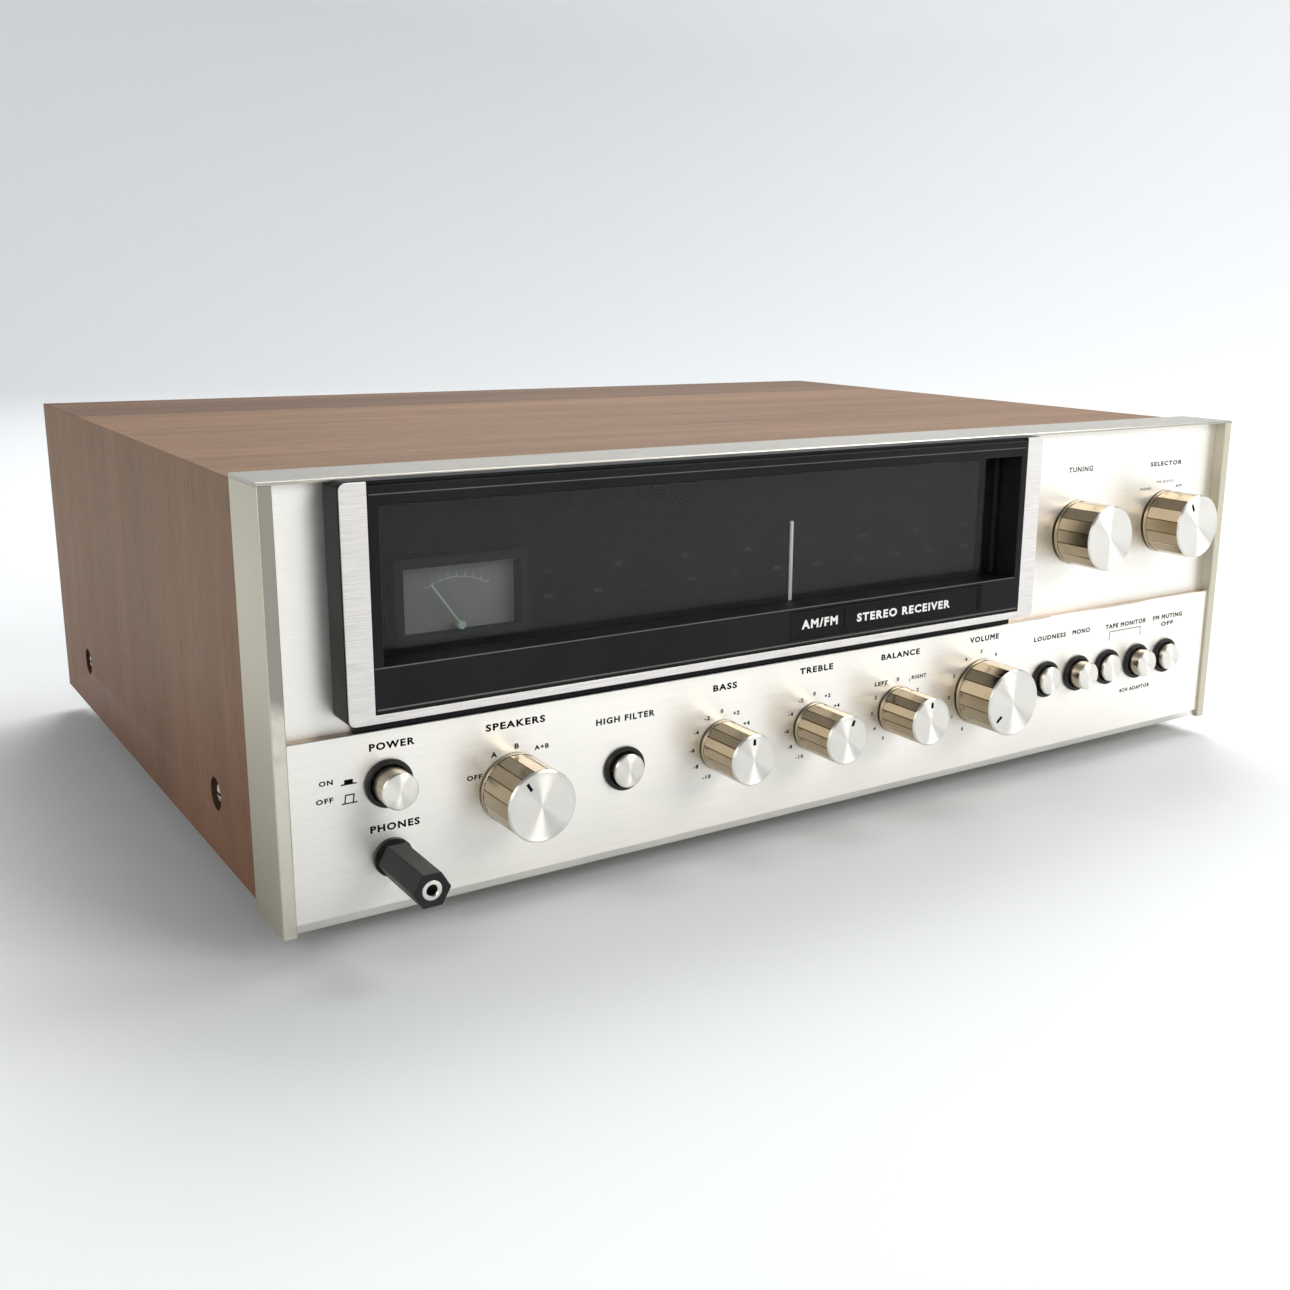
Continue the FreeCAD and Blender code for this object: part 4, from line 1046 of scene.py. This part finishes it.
def rear_lettering():
    """White words beside the sockets and terminals."""
    face = span("input_jacks", 1)[0]
    rear = Lettering("rear_panel_lettering", face + PRINT_GAP, "print_white", "rear_panel", True)
    for text, node, across, up, cap, width in REAR_WORDS:
        middle = centre(node) / MM
        rear.word(text, middle.x + across, middle.z + up, cap, width)
    rear.done()


def knob_scales(lower):
    """Numbers round the tone, balance and volume knobs."""
    for name in ("bass", "treble"):
        for step in range(-5, 6):
            x, z = around(name + "_knob", 30 * step, 13.3)
            lower.word("0" if step == 0 else "%+d" % (2 * step), x, z, 1.6)
    for step in range(-5, 6):
        x, z = around("balance_knob", 30 * step, 13.2)
        if abs(step) > 1:
            lower.word(str(abs(step)), x, z, 1.5)
        elif step:
            lower.bar(x, z - 0.7, x, z + 0.7, 0.3)
    for step in range(11):
        x, z = around("volume_knob", -150 + 30 * step, 17.8)
        lower.word(str(step), x, z, 1.6)


def panel_lettering():
    """Black words and marks on both panels, and the white words of the nameplate."""
    lower = Lettering("lower_panel_lettering", LOWER_FACE - PRINT_GAP, "ink", "lower_panel")
    for text, node, across, up, cap, width in LOWER_WORDS:
        middle = centre(node) / MM
        lower.word(text, middle.x + across, middle.z + up, cap, width)
    for node, start, end, thick in LOWER_BARS:
        middle = centre(node) / MM
        lower.bar(middle.x + start[0], middle.z + start[1], middle.x + end[0], middle.z + end[1], thick)
    knob_scales(lower)
    lower.done()

    upper = Lettering("upper_panel_lettering", UPPER_FACE - PRINT_GAP, "ink", "upper_panel")
    for text, node, across, up, cap, width, weight in UPPER_WORDS:
        middle = centre(node) / MM
        upper.word(text, middle.x + across, middle.z + up, cap, width, weight)
    upper.done()

    plate_face = span("nameplate", 1)[0] + 0.26 * MM
    plate = centre("nameplate") / MM
    words = Lettering("nameplate_lettering", plate_face, "print_white", "nameplate")
    words.word("AM/FM", plate.x - 35.0, plate.z, 3.6, 17.5)
    words.word("STEREO RECEIVER", plate.x + 8.0, plate.z - 0.4, 3.4, 49.2)
    words.done()


# ---- dial -------------------------------------------------------------------------------------
FM_MARKS = ("88", "90", "92", "94", "96", "98", "100", "102", "104", "106", "108")
AM_MARKS = ("54", "60", "70", "80", "100", "120", "140", "160")


def dial_printing():
    """Ticks and numbers on the scale plate, behind the glass."""
    face = span("dial_scale", 1)[0]
    scale = Lettering("dial_scale_printing", face - 0.03 * MM, "print_dim", "dial_scale")
    left = span("dial_scale", 0)[0] / MM + 69.5
    right = span("dial_scale", 0)[1] / MM - 6.3
    base = span("dial_scale", 2)[0] / MM
    ticks = 90
    for step in range(ticks + 1):
        x = left + (right - left) * step / ticks
        scale.bar(x, base + 16.5, x, base + 17.0, 0.55)
    for marks, up, cap in ((FM_MARKS, 23.5, 2.0), (AM_MARKS, 32.5, 1.8)):
        for step, text in enumerate(marks):
            scale.word(text, left + (right - left) * step / (len(marks) - 1), base + up, cap)
    scale.done()


def meter_face():
    """Pale plate in the meter, and its arc of marks."""
    low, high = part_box("signal_meter")
    back = high.y - 2.0 * MM
    bm = bmesh.new()
    corner = (low.x + 3.05 * MM, back - 0.4 * MM, low.z + 2.65 * MM)
    block(bm, corner, (high.x - 3.05 * MM, back - 0.05 * MM, high.z - 3.25 * MM))
    mesh = from_bmesh("meter_face_plate", bm)
    soften(place("meter_face_plate", mesh, "meter_face", "chassis"), 0.1)

    arc = Lettering("meter_printing", back - 0.45 * MM, "meter_ink", "signal_meter")
    base_x = (low.x + high.x) / 2 / MM
    base_z = low.z / MM + 4.0
    stroke = 0.22
    previous = None
    for step in range(-8, 9):
        angle = math.radians(4.4 * step)
        x = base_x + 19.0 * math.sin(angle)
        z = base_z + 16.5 * math.cos(angle)
        if previous is not None:
            arc.bar(*previous, x, z, stroke)
        if step % 2 == 0:
            arc.bar(x, z, x + 1.6 * math.sin(angle), z + 1.6 * math.cos(angle), stroke)
        previous = (x, z)
    arc.done()
    dress(NODES["meter_needle"], "meter_ink")


# ---- camera, light, floor ------------------------------------------------------------------------
def camera():
    """Camera in front of the left corner, looking down at the front panel."""
    data = bpy.data.cameras.new("camera")
    obj = bpy.data.objects.new("camera", data)
    bpy.context.scene.collection.objects.link(obj)
    yaw = 0.6070
    pitch = 0.2358
    roll = 0.0155
    forward = Vector((math.sin(yaw) * math.cos(pitch), math.cos(yaw) * math.cos(pitch), -math.sin(pitch)))
    level = Vector((math.cos(yaw), -math.sin(yaw), 0))
    up = level.cross(forward)
    right = math.cos(roll) * level + math.sin(roll) * up
    top = -math.sin(roll) * level + math.cos(roll) * up
    turn = Matrix((right, top, -forward)).transposed()
    place_at = Vector((-352.4, -570.2, 211.8)) * MM
    obj.matrix_world = Matrix.Translation(place_at) @ turn.to_4x4()
    data.sensor_width = 36.0
    data.lens = 39.30
    data.shift_x = -0.0543
    data.shift_y = -0.0149
    data.clip_start = 0.01
    bpy.context.scene.camera = obj


def area_light(name, place_at, size, power, colour=(1, 1, 1), aim=(0, 0, 0.08)):
    data = bpy.data.lights.new(name, "AREA")
    data.shape = "RECTANGLE"
    data.size, data.size_y = size
    data.energy = power
    data.color = colour
    obj = bpy.data.objects.new(name, data)
    obj.location = place_at
    direction = Vector(aim) - Vector(place_at)
    obj.rotation_euler = direction.to_track_quat("-Z", "Y").to_euler()
    bpy.context.scene.collection.objects.link(obj)


def studio_floor():
    """Pale floor that curves up into a round backdrop."""
    radius = 3.4
    curve = 1.1
    outline = [(0.0, 0.0), (radius - curve, 0.0)]
    for step in range(1, 13):
        angle = math.pi / 2 * step / 12
        outline.append((radius - curve + curve * math.sin(angle), curve - curve * math.cos(angle)))
    outline.append((radius, 1.6))
    segments = 96
    bm = bmesh.new()
    rings = []
    for reach, z in outline:
        ring = []
        for step in range(segments if reach else 1):
            angle = 2 * math.pi * step / segments
            ring.append(bm.verts.new((reach * math.cos(angle), reach * math.sin(angle), z)))
        rings.append(ring)
    for step in range(segments):
        bm.faces.new((rings[0][0], rings[1][step], rings[1][(step + 1) % segments]))
    join_rings(bm, rings[1:])
    mesh = from_bmesh("studio_floor", bm, 60)
    mesh.flip_normals()
    floor = bpy.data.objects.new("studio_floor", mesh)
    bpy.context.scene.collection.objects.link(floor)
    floor.data.materials.append(new_material("studio_paper", (0.80, 0.815, 0.825), roughness=0.8))


def studio_lights():
    """Large soft lights round the object, two of them for the backdrop and the floor, and a weak sky."""
    area_light("key", (1.5, -2.15, 1.4), (1.6, 1.2), 34, (1.0, 0.985, 0.955))
    area_light("fill", (-1.9, -1.3, 1.1), (1.4, 1.4), 15, (1.0, 0.985, 0.97))
    area_light("top", (0.75, 1.0, 2.1), (1.5, 1.5), 48, (1.0, 0.99, 0.98))
    area_light("wash", (1.9, 0.9, 2.4), (1.2, 1.2), 15, (1, 1, 1), (2.6, 1.8, 1.6))
    area_light("floor_wash", (1.7, -0.2, 1.9), (0.9, 0.9), 20, (1, 1, 1), (1.5, 0.1, 0.0))
    world = bpy.data.worlds.new("world")
    world.use_nodes = True
    background = world.node_tree.nodes["Background"]
    background.inputs["Color"].default_value = (0.86, 0.92, 0.96, 1)
    background.inputs["Strength"].default_value = 0.22
    bpy.context.scene.world = world
    bpy.context.scene.view_settings.view_transform = "Standard"


for node_name, node_object in NODES.items():
    dress(node_object, SLOT_LOOK[SLOT_OF[node_name]])
casing()
rear_parts()
for knob_name in KNOBS:
    knob(knob_name)
for button_name in BUTTONS:
    button(button_name)
adapter()
panel_lettering()
rear_lettering()
dial_printing()
meter_face()
camera()
studio_floor()
studio_lights()
